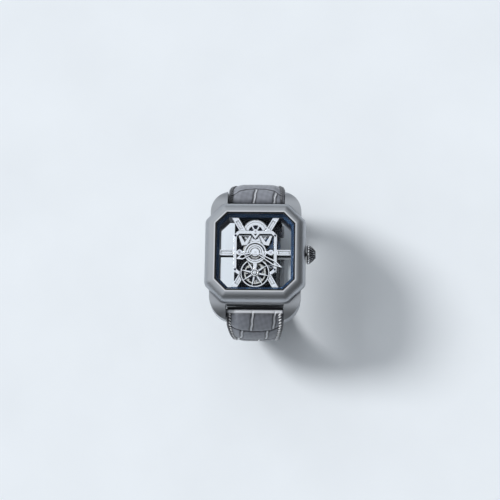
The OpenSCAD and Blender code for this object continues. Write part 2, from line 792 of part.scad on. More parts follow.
// The mainplate's side plate beyond the frame, with a notched edge, drawn in 2D
module side_plate() {
    low = 2.6;
    step_y = 7.8;
    pitch = 1.16;
    polygon(concat(
        [[0, low], [plate_half + 0.8, low], [plate_half + 0.8, step_y]],
        [for (i = [0:5]) let(x = side_reach - side_notch * (i % 2))
            each [[x, step_y + i * pitch], [x, step_y + (i + 1) * pitch]]],
        [[0, step_y + 6 * pitch]]
    ));
}

module mainplate() {
    color([0.3, 0.31, 0.34]) difference() {
        intersection() {
            oct(in_flange + touch, d_plate, d_plate + plate_h);
            union() {
                slab(d_plate, d_plate + plate_h) square([2 * plate_half, far], center = true);
                slab(d_plate, d_plate + plate_h) square([far, plate_arm], center = true);
                slab(d_plate, d_plate + plate_h) side_plate();
            }
        }
        for (p = [[0, barrel_y], [0, 0], [0, -tour_y], [third_x, third_y], [crown_wheel_x, crown_wheel_y]])
            post(arbor_r + run, 0, far, p[0], p[1]);
    }
}

// Places of the frame's four pillars
pillar_x = frame_x - frame_bar / 2 - 0.15;
pillar_y = frame_y - frame_cut - 0.2;

module frame_pillars() {
    color("silver") for (x = [-1, 1], y = [-1, 1])
        post(pillar_r, d_dial + frame_t + touch, d_plate - touch, x * pillar_x, y * pillar_y);
}

// The V below the frame's upper bar, drawn in 2D
module chevron(top) {
    polygon([[-2.2, top], [-1.2, top], [0, top - 1.5], [1.2, top], [2.2, top], [0, top - 2.8]]);
}

// An openwork wing between the frame's upper bar and the central disc, drawn in 2D
module wing(s) {
    side = frame_x - frame_bar - wing_gap;
    top = frame_y - frame_bar / 2;
    difference() {
        polygon([[s, top], [s * side, top],
            [s * (dial_r + 1), 0.65 * dial_r], [s * 0.72 * dial_r, 0.72 * dial_r]]);
        polygon([[s * 2.5, top - 1.6], [s * (side - 1.5), top - 1.6], [s * 4.4, dial_r - 0.2]]);
    }
}

module movement_frame() {
    color([0.8, 0.81, 0.83]) difference() {
        union() {
            slab(d_dial, d_dial + frame_t) difference() {
                rect_cut(frame_x, frame_y, frame_cut);
                rect_cut(frame_x - frame_bar, frame_y - frame_bar, frame_cut - frame_bar * 0.59);
                translate([0, -tour_y]) circle(r = frame_gap);
            }
            for (s = [-1, 1]) {
                post(jewel_r + 0.6, d_dial, d_dial + frame_t, s * jewel_x, 0);
                slab(d_dial, d_dial + frame_t) translate([s * (frame_x + dial_r + touch - 0.3) / 2, 0])
                    square([frame_x - dial_r - touch - 0.3, 1.2], center = true);
            }
            for (s = [-1, 1]) slab(d_dial + wing_sink, d_dial + frame_t) wing(s);
            slab(d_dial, d_dial + frame_t) chevron(frame_y - frame_bar / 2);
            post(1, d_dial, d_dial + frame_t, 0, barrel_y);
        }
        for (s = [-1, 1]) post(jewel_r + touch, 0, far, s * jewel_x, 0);
        post(arbor_r + run, 0, far, 0, barrel_y);
    }
}

module hour_struts() {
    reach = far / 2;
    inner = bezel_half - in_flange;
    color([0.8, 0.81, 0.83]) difference() {
        slab(d_dial, d_dial + frame_t) intersection() {
            difference() {
                for (a = strut_dirs) rotate(a) translate([-strut_w / 2, 0]) square([strut_w, reach]);
                rect_cut(frame_x + touch, frame_y + touch, frame_cut);
                translate([0, -tour_y]) circle(r = frame_gap);
            }
            rotate(45) square(2 * (bezel_diag - in_flange - touch), center = true);
            square(2 * (inner - touch), center = true);
        }
        slab(d_dial - 1, d_dial + strut_sink) for (a = strut_dirs) rotate(a) {
            start = a % 180 == 90 ? frame_x + strut_rim : frame_y / cos(30) + 2 * strut_rim;
            end = a % 180 == 90 ? inner - strut_rim : inner / cos(30) - strut_w / 2 - strut_rim;
            translate([strut_rim - strut_w / 2, start]) square([strut_w - 2 * strut_rim, end - start]);
        }
    }
}

module central_disc() {
    color([0.8, 0.81, 0.83]) difference() {
        union() {
            slab(d_dial, d_dial + dial_t) difference() {
                circle(r = dial_r);
                circle(r = 1.1);
                intersection() {
                    difference() {
                        circle(r = dial_r - 0.55);
                        circle(r = dial_r - 1.1);
                    }
                    translate([-dial_r, 0.6]) square([2 * dial_r, dial_r]);
                }
                intersection() {
                    difference() {
                        circle(r = dial_open_r);
                        circle(r = hour_hub_r + 0.2);
                    }
                    translate([-dial_r, -0.8 - dial_r]) square([2 * dial_r, dial_r]);
                }
            }
            post(0.25, d_dial + dial_t / 2, d_cannon + 0.45, minute_x, minute_y);
        }
        for (r = [2.1, 2.9, dial_r - 0.6]) slab(d_dial - 1, d_dial + 0.2) difference() {
            circle(r = r);
            circle(r = r - 0.25);
        }
    }
}

module frame_jewels() {
    color("lavender") for (s = [-1, 1])
        slab(d_dial + 0.1, d_dial + frame_t - 0.1) translate([s * jewel_x, 0]) difference() {
            circle(r = jewel_r);
            circle(r = 0.2);
        }
}

module finger_bridge() {
    color([0.8, 0.81, 0.83]) difference() {
        union() {
            slab(d_dial, d_dial + finger_t) polygon([
                [-0.9, 0.3 - dial_r], [0.9, 0.3 - dial_r], [0.5, 0.8 - tour_y], [-0.5, 0.8 - tour_y]
            ]);
            post(finger_end_r, d_dial, d_dial + finger_t, 0, -tour_y);
        }
        slab(d_dial - 1, d_dial + 0.6 * finger_t) translate([0, -tour_y]) difference() {
            circle(r = finger_end_r - 0.35);
            circle(r = finger_end_r / 2);
        }
        post(dial_r + touch, 0, far);
        post(arbor_r + run, 0, far, 0, -tour_y);
    }
}

module barrel_drum() {
    color([0.75, 0.76, 0.78]) translate([0, barrel_y]) {
        slab(d_drum_end - drum_floor, d_drum_end) difference() {
            gear(barrel_teeth, barrel_mod, -90);
            circle(r = arbor_r + run);
        }
        slab(d_drum, d_drum_end - drum_floor) difference() {
            circle(r = drum_r);
            circle(r = drum_r - drum_wall);
        }
    }
}

module barrel_cover() {
    color([0.8, 0.81, 0.83]) translate([0, barrel_y]) slab(d_cover, d_drum - touch) difference() {
        spoked(drum_r, drum_r - 1, 1.5, 8, 0.7);
        circle(r = arbor_r + run);
    }
}

// A flat spiral band, drawn in 2D
module spiral(r1, r2, turns, w) {
    n = turns * 24;
    polygon(concat(
        [for (i = [0:n]) let(r = r1 + (r2 - r1) * i / n, a = 15 * i) [r * cos(a), r * sin(a)]],
        [for (i = [n:-1:0]) let(r = r1 + w + (r2 - r1) * i / n, a = 15 * i) [r * cos(a), r * sin(a)]]
    ));
}

module mainspring() {
    color("steelblue") translate([0, barrel_y])
        slab(d_drum + 0.2, d_drum_end - drum_floor - 0.1)
            spiral(core_r + 0.1, drum_r - drum_wall - 0.4, 8, 0.2);
}

module barrel_arbor() {
    color("silver") {
        post(core_r, d_drum + 0.1, d_drum_end - drum_floor - 0.1, 0, barrel_y);
        post(arbor_r, d_dial + 0.1, d_plate + plate_h - 0.1, 0, barrel_y);
    }
}

module ratchet_wheel() {
    r = ratchet_teeth * ratchet_mod / 2;
    color([0.85, 0.86, 0.88]) translate([0, barrel_y]) difference() {
        slab(d_ratchet, d_ratchet + 2 * wheel_t) difference() {
            gear(ratchet_teeth, ratchet_mod, ratchet_dir);
            crossings(r - ratchet_rim, 1.3, 6, 0.55);
            circle(r = arbor_r + touch);
        }
        slab(d_ratchet - 1, d_ratchet + wheel_t / 2) difference() {
            circle(r = r - 0.8);
            circle(r = r - 1.1);
        }
    }
}

module crown_wheel() {
    color([0.1, 0.13, 0.22]) {
        translate([crown_wheel_x, crown_wheel_y]) {
            slab(d_ratchet, d_ratchet + 2 * wheel_t) difference() {
                gear(crown_wheel_teeth, ratchet_mod, ratchet_dir + 180 + 180 / crown_wheel_teeth);
                crossings(contrate_r - contrate_w, 1, 5, 0.5);
            }
            slab(d_ratchet + 2 * wheel_t, crown_depth - winding_r - run) difference() {
                circle(r = contrate_r);
                circle(r = contrate_r - contrate_w);
                for (i = [0:contrate_teeth - 1]) rotate(i * 360 / contrate_teeth)
                    translate([contrate_r - 0.7, -0.14]) square([1, 0.28]);
            }
        }
        post(arbor_r, d_ratchet + wheel_t, d_plate + plate_h - 0.1, crown_wheel_x, crown_wheel_y);
    }
}

module winding_pinion() {
    at_x = crown_wheel_x + sqrt(pow(contrate_r - contrate_w / 2, 2) - crown_wheel_y * crown_wheel_y);
    color([0.75, 0.76, 0.78]) translate([at_x - 0.6, 0, z_at(crown_depth)]) rotate([0, 90, 0])
        linear_extrude(1.2) difference() {
            gear(winding_teeth, 2 * winding_r / (winding_teeth + 1.7));
            circle(r = stem_r + run);
        }
}

module centre_wheel() {
    color([0.83, 0.74, 0.5]) {
        slab(d_drum_end - drum_floor, d_drum_end) difference() {
            gear(centre_small_teeth, barrel_mod, 90 + 180 / centre_small_teeth);
            crossings(centre_small_teeth * barrel_mod / 2 - 0.7, 0.8, 5, 0.5);
        }
        slab(d_centre, d_centre + wheel_t) difference() {
            gear(centre_teeth, centre_mod, third_dir);
            crossings(centre_teeth * centre_mod / 2 - 0.6, 0.8, 5, 0.4);
        }
        post(0.7, d_drum_end - drum_floor, d_centre + wheel_t);
        post(arbor_r, d_cock + 0.5, d_plate + plate_h - 0.1);
        post(pivot_r, d_minute - 0.2, d_cock + 1);
    }
}

module centre_cock() {
    color([0.6, 0.61, 0.64]) difference() {
        union() {
            slab(d_cock, d_cock + 0.45) {
                translate([-frame_x + 0.5, -0.9]) square([frame_x - 0.5, 1.8]);
                circle(r = 1.2);
                translate([-frame_x + 1.1, 0]) circle(r = 1.1);
            }
            post(0.8, d_cock + 0.2, d_plate - touch, -frame_x + 1.1, 0);
        }
        post(pivot_r + run, 0, far);
        post(0.25 + run, 0, d_cannon + 0.55, minute_x, minute_y);
    }
}

module cannon_pinion() {
    color([0.83, 0.74, 0.5]) difference() {
        union() {
            slab(d_cannon, d_cannon + 0.4) gear(cannon_teeth, motion_mod, motion_dir);
            post(0.35, d_minute + hand_t / 2, d_cannon + 0.2);
        }
        post(pivot_r + touch, 0, far);
    }
}

module minute_wheel() {
    color([0.83, 0.74, 0.5]) translate([minute_x, minute_y]) {
        slab(d_cannon, d_cannon + 0.3) difference() {
            gear(minute_teeth, motion_mod, motion_dir + 180 + 180 / minute_teeth);
            circle(r = 0.25 + run);
        }
        slab(d_hour_wheel, d_cannon) difference() {
            gear(minute_leaves, hour_mod, motion_dir + 180);
            circle(r = 0.25 + run);
        }
    }
}

module hour_wheel() {
    color([0.83, 0.74, 0.5]) difference() {
        union() {
            slab(d_hour_wheel, d_hour_wheel + wheel_t) difference() {
                gear(hour_teeth, hour_mod, motion_dir + 180 / hour_teeth);
                crossings(hour_teeth * hour_mod / 2 - 0.5, 0.9, 4, 0.4);
            }
            post(0.65, d_hour + hand_t / 2, d_hour_wheel + 0.1);
        }
        post(0.35 + run, 0, far);
    }
}

// An open lozenge hand that points along a direction, widest at seven tenths of its length
module hand(length, width, hub_r, d, dir) {
    module blade(shrink) {
        start = hub_r * 0.6 + shrink * 2.4;
        tip = length - shrink * 3.5;
        polygon([[start, 0.35 - shrink * 0.4], [0.7 * length, width / 2 - shrink], [tip, 0],
            [0.7 * length, shrink - width / 2], [start, shrink * 0.4 - 0.35]]);
    }
    rotate(dir) slab(d, d + hand_t) difference() {
        blade(0);
        blade(hand_line);
    }
    post(hub_r, d, d + hand_t);
}

module minute_hand() {
    color([0.85, 0.86, 0.88]) difference() {
        union() {
            hand(minute_l, minute_w, minute_hub_r, d_minute, minute_dir);
            post(0.6, d_minute - 0.1, d_minute + hand_t / 2);
        }
        post(0.35 + touch, d_minute + hand_t / 2 - touch, far);
        post(pivot_r + touch, 0, far);
    }
}

module hour_hand() {
    color([0.85, 0.86, 0.88]) difference() {
        hand(hour_l, hour_w, hour_hub_r, d_hour, hour_dir);
        post(0.65 + touch, 0, far);
    }
}

module third_wheel() {
    color([0.83, 0.74, 0.5]) {
        translate([third_x, third_y]) {
            slab(d_centre - 0.05, d_centre + wheel_t + 0.1)
                gear(third_leaves, centre_mod, third_dir + 180 + 180 / third_leaves);
            slab(d_third, d_third + wheel_t) difference() {
                gear(third_teeth, third_mod, third_to_cage);
                crossings(third_teeth * third_mod / 2 - 0.55, 0.8, 5, 0.4);
            }
        }
        post(arbor_r, d_fixed + 0.1, d_plate + plate_h - 0.1, third_x, third_y);
    }
}

module third_cock() {
    angle = atan2(third_cock_y - third_y, third_cock_x - third_x);
    reach = sqrt(pow(third_cock_x - third_x, 2) + pow(third_cock_y - third_y, 2));
    color([0.6, 0.61, 0.64]) difference() {
        union() {
            slab(d_fixed, d_fixed + 0.35) translate([third_x, third_y]) rotate(angle) {
                circle(r = 0.55);
                translate([0, -0.45]) square([reach, 0.9]);
                translate([reach, 0]) circle(r = 0.8);
            }
            post(0.7, d_fixed + 0.1, d_plate - touch, third_cock_x, third_cock_y);
        }
        post(arbor_r + run, 0, far, third_x, third_y);
    }
}

// Place of a point by direction and distance from the tourbillon's axis
function from_cage(dir, dist) = [dist * cos(dir), dist * sin(dir)];

// The fixed wheel is a toothed ring on three posts
module fixed_wheel() {
    inner = fixed_teeth * fixed_mod / 2 - 1.1;
    mid = (inner + fixed_teeth * fixed_mod / 2) / 2;
    color([0.83, 0.74, 0.5]) translate([0, -tour_y]) {
        slab(d_fixed, d_fixed + fixed_t) difference() {
            gear(fixed_teeth, fixed_mod, escape_dir);
            circle(r = inner);
        }
        for (a = [-37, -143, 164]) translate(from_cage(a, mid)) post(0.35, d_fixed + 0.1, d_plate - touch);
    }
}

module cage_lower() {
    pillar_at = cage_r - cage_ring / 2 - 0.15;
    color([0.7, 0.71, 0.74]) translate([0, -tour_y]) {
        slab(d_cage_low, d_cage_low + cage_t) difference() {
            union() {
                difference() {
                    circle(r = cage_r);
                    circle(r = cage_r - 0.9);
                }
                circle(r = 1);
                for (a = [90, 210, 330]) rotate(a) translate([0, -0.4]) square([pillar_at, 0.8]);
                rotate(escape_dir) translate([0, -0.4]) square([pillar_at, 0.8]);
                translate(from_cage(escape_dir, escape_at)) circle(r = 0.75);
                translate(from_cage(escape_dir, fork_at)) circle(r = 0.6);
            }
            translate(from_cage(escape_dir, escape_at)) circle(r = 0.42);
            translate(from_cage(escape_dir, fork_at)) circle(r = pivot_r + run);
            circle(r = pivot_r + run);
        }
        for (a = [90, 210, 330])
            translate(from_cage(a, pillar_at)) post(0.25, d_cage + cage_t + touch, d_cage_low + 0.1);
        difference() {
            post(0.3, d_cage_low + cage_t - 0.1, d_plate + plate_h - 0.1);
            post(pivot_r + run, 0, d_cage_low + cage_t + 0.05);
        }
        slab(d_third - 0.1, d_third + wheel_t + 0.1)
            gear(cage_leaves, third_mod, third_to_cage + 180 + 180 / cage_leaves);
    }
}

module cage_upper() {
    mid_ring = cage_r - cage_ring / 2;
    color([0.88, 0.89, 0.91]) translate([0, -tour_y]) {
        slab(d_cage, d_cage + cage_t) difference() {
            union() {
                difference() {
                    circle(r = cage_r);
                    circle(r = cage_r - cage_ring);
                }
                circle(r = finger_end_r + 0.2);
                for (i = [0:cage_spokes - 1]) rotate(78 + i * 360 / cage_spokes)
                    polygon([
                        [1, -0.35], [2.6, -0.3], [mid_ring, -0.09],
                        [mid_ring, 0.09], [2.6, 0.3], [1, 0.35]
                    ]);
            }
            circle(r = pivot_r + run);
        }
        difference() {
            post(arbor_r, d_dial + 0.05, d_cage + 0.1);
            post(pivot_r + run, d_cage - 0.1, far);
        }
    }
}

module escape_wheel() {
    root = 0.75 * escape_r;
    color([0.6, 0.62, 0.7]) translate([0, -tour_y]) translate(from_cage(escape_dir, escape_at)) {
        slab(d_escape, d_escape + wheel_t) difference() {
            union() {
                circle(r = escape_r * 0.8);
                for (i = [0:escape_teeth - 1]) rotate(i * 360 / escape_teeth)
                    polygon([[root, -0.12], [escape_r, 0.06], [escape_r, 0.12], [root, 0.14]]);
            }
            crossings(escape_r * 0.62, 0.4, 4, 0.18);
        }
        post(0.15, d_roller + 0.1, d_fixed + fixed_t + 0.15);
        slab(d_fixed - 0.05, d_fixed + fixed_t + 0.1)
            gear(escape_leaves, fixed_mod, escape_dir + 180 + 180 / escape_leaves);
    }
}

module pallet_fork() {
    stone = escape_r + 0.32;
    color([0.6, 0.62, 0.7]) translate([0, -tour_y]) rotate(escape_dir) {
        slab(d_fork, d_fork + fork_t) {
            translate([fork_at, 0]) circle(r = 0.35);
            for (s = [-1, 1]) {
                polygon([[fork_at - 0.1, 0], [fork_at + 0.15, s * 0.3],
                    [escape_at - stone * 0.72, s * stone * 0.78], [escape_at - stone * 0.6, s * stone * 0.92],
                    [escape_at - stone * 0.86, s * stone * 0.8]]);
                translate([fork_at - 0.8, s * 0.2 - 0.07]) square([0.4, 0.14]);
            }
            translate([fork_at - 0.5, -0.27]) square([0.4, 0.54]);
        }
        post(pivot_r - 0.03, d_roller + 0.2, d_cage_low + cage_t - 0.05, fork_at, 0);
    }
}

module balance_wheel() {
    color([0.83, 0.74, 0.5]) translate([0, -tour_y]) slab(d_balance, d_balance + balance_t) difference() {
        union() {
            spoked(balance_r, balance_r - 0.55, 0.8, 4, 0.45);
            for (a = [45, 135, 225, 315]) translate(from_cage(a, balance_r - 0.75)) circle(r = 0.4);
        }
        circle(r = 0.3 + touch);
    }
}

module balance_staff() {
    color("silver") translate([0, -tour_y]) {
        post(0.3, d_spring - 0.05, d_roller + roller_t);
        post(pivot_r - 0.02, d_cage + 0.05, d_cage_low + cage_t - 0.05);
        slab(d_roller, d_roller + roller_t) circle(r = 0.6);
        rotate(escape_dir) post(0.08, d_roller + roller_t / 2, d_fork - 0.05, 0.45, 0);
    }
}

module hairspring() {
    color("steelblue") translate([0, -tour_y]) slab(d_spring, d_spring + spring_h) {
        spiral(0.42, 2.9, spring_turns, 0.09);
    }
}

module bridge_screws() {
    color([0.3, 0.4, 0.7]) {
        for (x = [-1, 1], y = [-1, 1]) difference() {
            post(0.4, d_dial - 0.2, d_dial - touch, x * pillar_x, y * pillar_y);
            translate([x * pillar_x, y * pillar_y, z_at(d_dial - 0.2)]) rotate(30)
                cube([1, 0.14, 0.16], center = true);
        }
        for (p = [[-frame_x + 1.1, 0, d_cock], [third_cock_x, third_cock_y, d_fixed]])
            post(0.4, p[2] - 0.2, p[2] - touch, p[0], p[1]);
    }
}

bezel();
front_crystal();
crystal_gasket();
flange();
case_middle();
movement_ring();
back_gasket();
case_back();
back_crystal();
back_screws();
crown_tube();
crown_gasket();
winding_stem();
crown();
spring_bars();
strap_short();
strap_long();
buckle_frame();
buckle_bar();
buckle_tongue();
fixed_keeper();
free_keeper();
mainplate();
frame_pillars();
movement_frame();
hour_struts();
central_disc();
frame_jewels();
finger_bridge();
barrel_drum();
barrel_cover();
mainspring();
barrel_arbor();
ratchet_wheel();
crown_wheel();
winding_pinion();
centre_wheel();
centre_cock();
cannon_pinion();
minute_hand();
minute_wheel();
hour_wheel();
hour_hand();
third_wheel();
third_cock();
fixed_wheel();
cage_lower();
cage_upper();
escape_wheel();
pallet_fork();
balance_wheel();
balance_staff();
hairspring();
bridge_screws();
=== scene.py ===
"""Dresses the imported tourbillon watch: its finishes, bezel, leather strap and studio.

Sizes in the classes are millimetres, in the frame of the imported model, and MM turns them into metres.
"""

import logging
import math
from dataclasses import dataclass, field, replace
from enum import Enum
from typing import Dict, List, Optional, Sequence, Tuple, Union

import bpy
import numpy as np
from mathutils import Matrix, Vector


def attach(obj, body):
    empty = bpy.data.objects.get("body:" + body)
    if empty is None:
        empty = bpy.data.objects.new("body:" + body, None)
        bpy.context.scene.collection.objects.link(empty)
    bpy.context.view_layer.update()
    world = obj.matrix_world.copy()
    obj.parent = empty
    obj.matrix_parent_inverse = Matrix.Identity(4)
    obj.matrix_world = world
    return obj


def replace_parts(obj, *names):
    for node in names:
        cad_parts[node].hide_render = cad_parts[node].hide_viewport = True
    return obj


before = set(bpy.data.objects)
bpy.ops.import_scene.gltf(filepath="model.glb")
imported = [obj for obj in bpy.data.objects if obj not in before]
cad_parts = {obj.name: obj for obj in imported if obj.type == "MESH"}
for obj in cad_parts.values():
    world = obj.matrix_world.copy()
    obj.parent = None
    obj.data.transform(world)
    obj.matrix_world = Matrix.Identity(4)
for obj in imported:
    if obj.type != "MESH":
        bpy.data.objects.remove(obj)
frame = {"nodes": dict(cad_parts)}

MM = 0.001
LOG = logging.getLogger("watch")
Colour = Tuple[float, float, float]
Pair = Tuple[float, float]
Point = Tuple[float, float, float]
Faces = List[Tuple[int, ...]]
Socket = bpy.types.NodeSocket
Value = Union[float, bool, str, Tuple[float, ...], Socket]
Inputs = Dict[Union[str, int], Value]


# Shader building

class Nodes:
    """Adds and joins the nodes of one tree."""

    def __init__(self, tree: bpy.types.NodeTree) -> None:
        """Keeps the tree that gets the nodes."""
        self.tree = tree

    def fill(self, node: bpy.types.Node, inputs: Inputs) -> bpy.types.Node:
        """Sets or links the inputs of a node.

        Args:
            node: the node.
            inputs: socket name or number to a value, or to a socket that is linked to it.

        Returns:
            The same node.
        """
        for name, value in inputs.items():
            if isinstance(value, Socket):
                self.tree.links.new(value, node.inputs[name])
            else:
                node.inputs[name].default_value = value
        return node

    def add(self, kind: str, inputs: Optional[Inputs] = None, **settings: Value) -> bpy.types.Node:
        """Adds a node.

        Args:
            kind: the node's type name.
            inputs: what its inputs get, as in fill.
            settings: properties of the node.

        Returns:
            The new node.
        """
        node = self.tree.nodes.new(kind)
        for name, value in settings.items():
            setattr(node, name, value)
        return self.fill(node, inputs or {})

    def math(self, operation: str, *values: Value) -> Socket:
        """Returns the result of a Math node on values or sockets."""
        return self.add("ShaderNodeMath", dict(enumerate(values)), operation=operation).outputs[0]

    def mix(self, share: Value, first: Value, second: Value) -> Socket:
        """Mixes two colours.

        Args:
            share: the share of the second colour, from 0 to 1.
            first: a colour or a socket.
            second: a colour or a socket.

        Returns:
            The mixed colour.
        """
        node = self.add("ShaderNodeMix", {"Factor": share}, data_type="RGBA")
        slots = [number for number, socket in enumerate(node.inputs) if socket.type == "RGBA"]
        for slot, value in zip(slots, (first, second)):
            self.fill(node, {slot: value if isinstance(value, Socket) else (*value, 1)})
        return next(socket for socket in node.outputs if socket.type == "RGBA")

    def span(self, value: Value, low: float, high: float) -> Socket:
        """Returns a value from 0 to 1 that is mapped to run from low to high."""
        return self.add("ShaderNodeMapRange", {"Value": value, "To Min": low, "To Max": high}).outputs[0]

    def place(self) -> Socket:
        """Returns the place on the object."""
        return self.add("ShaderNodeTexCoord").outputs["Object"]


def new_material(name: str) -> Tuple[bpy.types.Material, Nodes, bpy.types.Node]:
    """Makes a material.

    Args:
        name: the material's name.

    Returns:
        The material, its nodes and its Principled shader.
    """
    material = bpy.data.materials.new(name)
    material.use_nodes = True
    return material, Nodes(material.node_tree), material.node_tree.nodes["Principled BSDF"]


def shaded(colour: Colour, share: float) -> Colour:
    """Returns a colour that is multiplied by a share and kept below white."""
    return tuple(min(1.0, c * share) for c in colour)


class Effect(Enum):
    """The shader groups that several finishes use."""

    GRAIN = "fine_grain"
    LINES = "brushed_lines"
    # painted highlight: lighter colour on outer edges
    EDGES = "painted_edge_highlight"
    # painted shade: darkening in grooves, gaps and inner corners
    CREVICES = "painted_crevice_shade"
    HIDE = "hide_pores"


class Effects:
    """Builds each shader group once and places it in materials."""

    def __init__(self) -> None:
        """Builds every group."""
        self.groups = {
            Effect.GRAIN: self._grain(),
            Effect.LINES: self._lines(),
            Effect.EDGES: self._painted_edge_highlight(),
            Effect.CREVICES: self._painted_crevice_shade(),
            Effect.HIDE: self._hide(),
        }

    def place(self, nodes: Nodes, effect: Effect, **inputs: float) -> bpy.types.Node:
        """Returns the node of a group that is placed among a material's nodes with its own values."""
        return nodes.add("ShaderNodeGroup", inputs, node_tree=self.groups[effect])

    @staticmethod
    def _group(effect: Effect, inputs: Dict[str, float], *outputs: str) -> Tuple[Nodes, bpy.types.Node]:
        """Makes an empty group with float sockets.

        Args:
            effect: the group's name.
            inputs: its inputs, with their first values.
            outputs: the names of its outputs.

        Returns:
            The group's nodes and its input node.
        """
        tree = bpy.data.node_groups.new(effect.value, "ShaderNodeTree")
        kind = "NodeSocketFloat"
        for name, value in inputs.items():
            tree.interface.new_socket(name=name, in_out="INPUT", socket_type=kind).default_value = value
        for name in outputs:
            tree.interface.new_socket(name=name, in_out="OUTPUT", socket_type=kind)
        nodes = Nodes(tree)
        return nodes, nodes.add("NodeGroupInput")

    @staticmethod
    def _finish(nodes: Nodes, **outputs: Socket) -> bpy.types.NodeTree:
        """Joins the outputs of a group and returns its tree."""
        nodes.add("NodeGroupOutput", outputs)
        return nodes.tree

    def _grain(self) -> bpy.types.NodeTree:
        """Even grain of a blasted or cast surface, with slow changes of tone."""
        nodes, given = self._group(Effect.GRAIN, {"Scale": 9000, "Slow": 120}, "Height", "Tone")
        at, fine_share = nodes.place(), 0.35
        fine = nodes.add("ShaderNodeTexNoise", {"Vector": at, "Scale": given.outputs["Scale"], "Detail": 3})
        slow = nodes.add("ShaderNodeTexNoise", {"Vector": at, "Scale": given.outputs["Slow"], "Detail": 4})
        tone = nodes.math("ADD", nodes.math("MULTIPLY", fine.outputs[0], fine_share),
                          nodes.math("MULTIPLY", slow.outputs[0], 1 - fine_share))
        return self._finish(nodes, Height=fine.outputs[0], Tone=tone)

    def _lines(self) -> bpy.types.NodeTree:
        """Straight brush lines, finest across one direction of the object."""
        nodes, given = self._group(Effect.LINES, {"Along": 300, "Across": 14000}, "Height", "Tone")
        at = nodes.add("ShaderNodeSeparateXYZ", {0: nodes.place()})
        stretched = nodes.add("ShaderNodeCombineXYZ", {
            axis: nodes.math("MULTIPLY", at.outputs[axis], given.outputs[scale])
            for axis, scale in (("X", "Along"), ("Y", "Across"), ("Z", "Along"))})
        noise = nodes.add("ShaderNodeTexNoise", {"Vector": stretched.outputs[0], "Scale": 1, "Detail": 2})
        return self._finish(nodes, Height=noise.outputs[0], Tone=noise.outputs[0])

    def _painted_edge_highlight(self) -> bpy.types.NodeTree:
        """A mask of outer edges for painted highlights, from how far a rounded normal leaves the true one."""
        nodes, given = self._group(Effect.EDGES, {"Radius": 0.00012, "Gain": 2.5}, "Edge")
        rounded = nodes.add("ShaderNodeBevel", {"Radius": given.outputs["Radius"]}, samples=4)
        true = nodes.add("ShaderNodeNewGeometry").outputs["Normal"]
        both = nodes.add("ShaderNodeVectorMath", {0: rounded.outputs[0], 1: true}, operation="DOT_PRODUCT")
        away = nodes.math("SUBTRACT", 1.0, both.outputs["Value"])
        edge = nodes.math("MINIMUM", nodes.math("MULTIPLY", away, given.outputs["Gain"]), 1.0)
        return self._finish(nodes, Edge=edge)

    def _painted_crevice_shade(self) -> bpy.types.NodeTree:
        """A mask for painted shade in grooves, inner corners and narrow gaps, from how much stands close by.
        """
        nodes, given = self._group(Effect.CREVICES, {"Distance": 0.0008, "Open": 0.95}, "Crevice")
        near = nodes.add("ShaderNodeAmbientOcclusion", {"Distance": given.outputs["Distance"]}, samples=8)
        mask = nodes.add("ShaderNodeMapRange", {
            "Value": near.outputs["AO"], "From Min": 0.45, "From Max": given.outputs["Open"],
            "To Min": 1.0, "To Max": 0.0})
        return self._finish(nodes, Crevice=mask.outputs[0])

    def _hide(self) -> bpy.types.NodeTree:
        """Pores and small creases of a leather hide."""
        nodes, given = self._group(Effect.HIDE, {"Scale": 900}, "Height", "Tone")
        at, pore_share, crease_share = nodes.place(), 0.45, 0.8
        cells = nodes.add("ShaderNodeTexVoronoi", {"Vector": at, "Scale": given.outputs["Scale"]},
                          feature="DISTANCE_TO_EDGE")
        creases = nodes.add("ShaderNodeTexNoise", {
            "Vector": at, "Scale": 700, "Detail": 5, "Distortion": 0.6})
        pores = nodes.math("MINIMUM", nodes.math("MULTIPLY", cells.outputs["Distance"], 4.0), 1.0)
        height = nodes.math("ADD", nodes.math("MULTIPLY", pores, pore_share),
                            nodes.math("MULTIPLY", creases.outputs[0], crease_share))
        return self._finish(nodes, Height=height, Tone=creases.outputs[0])


# Finishes

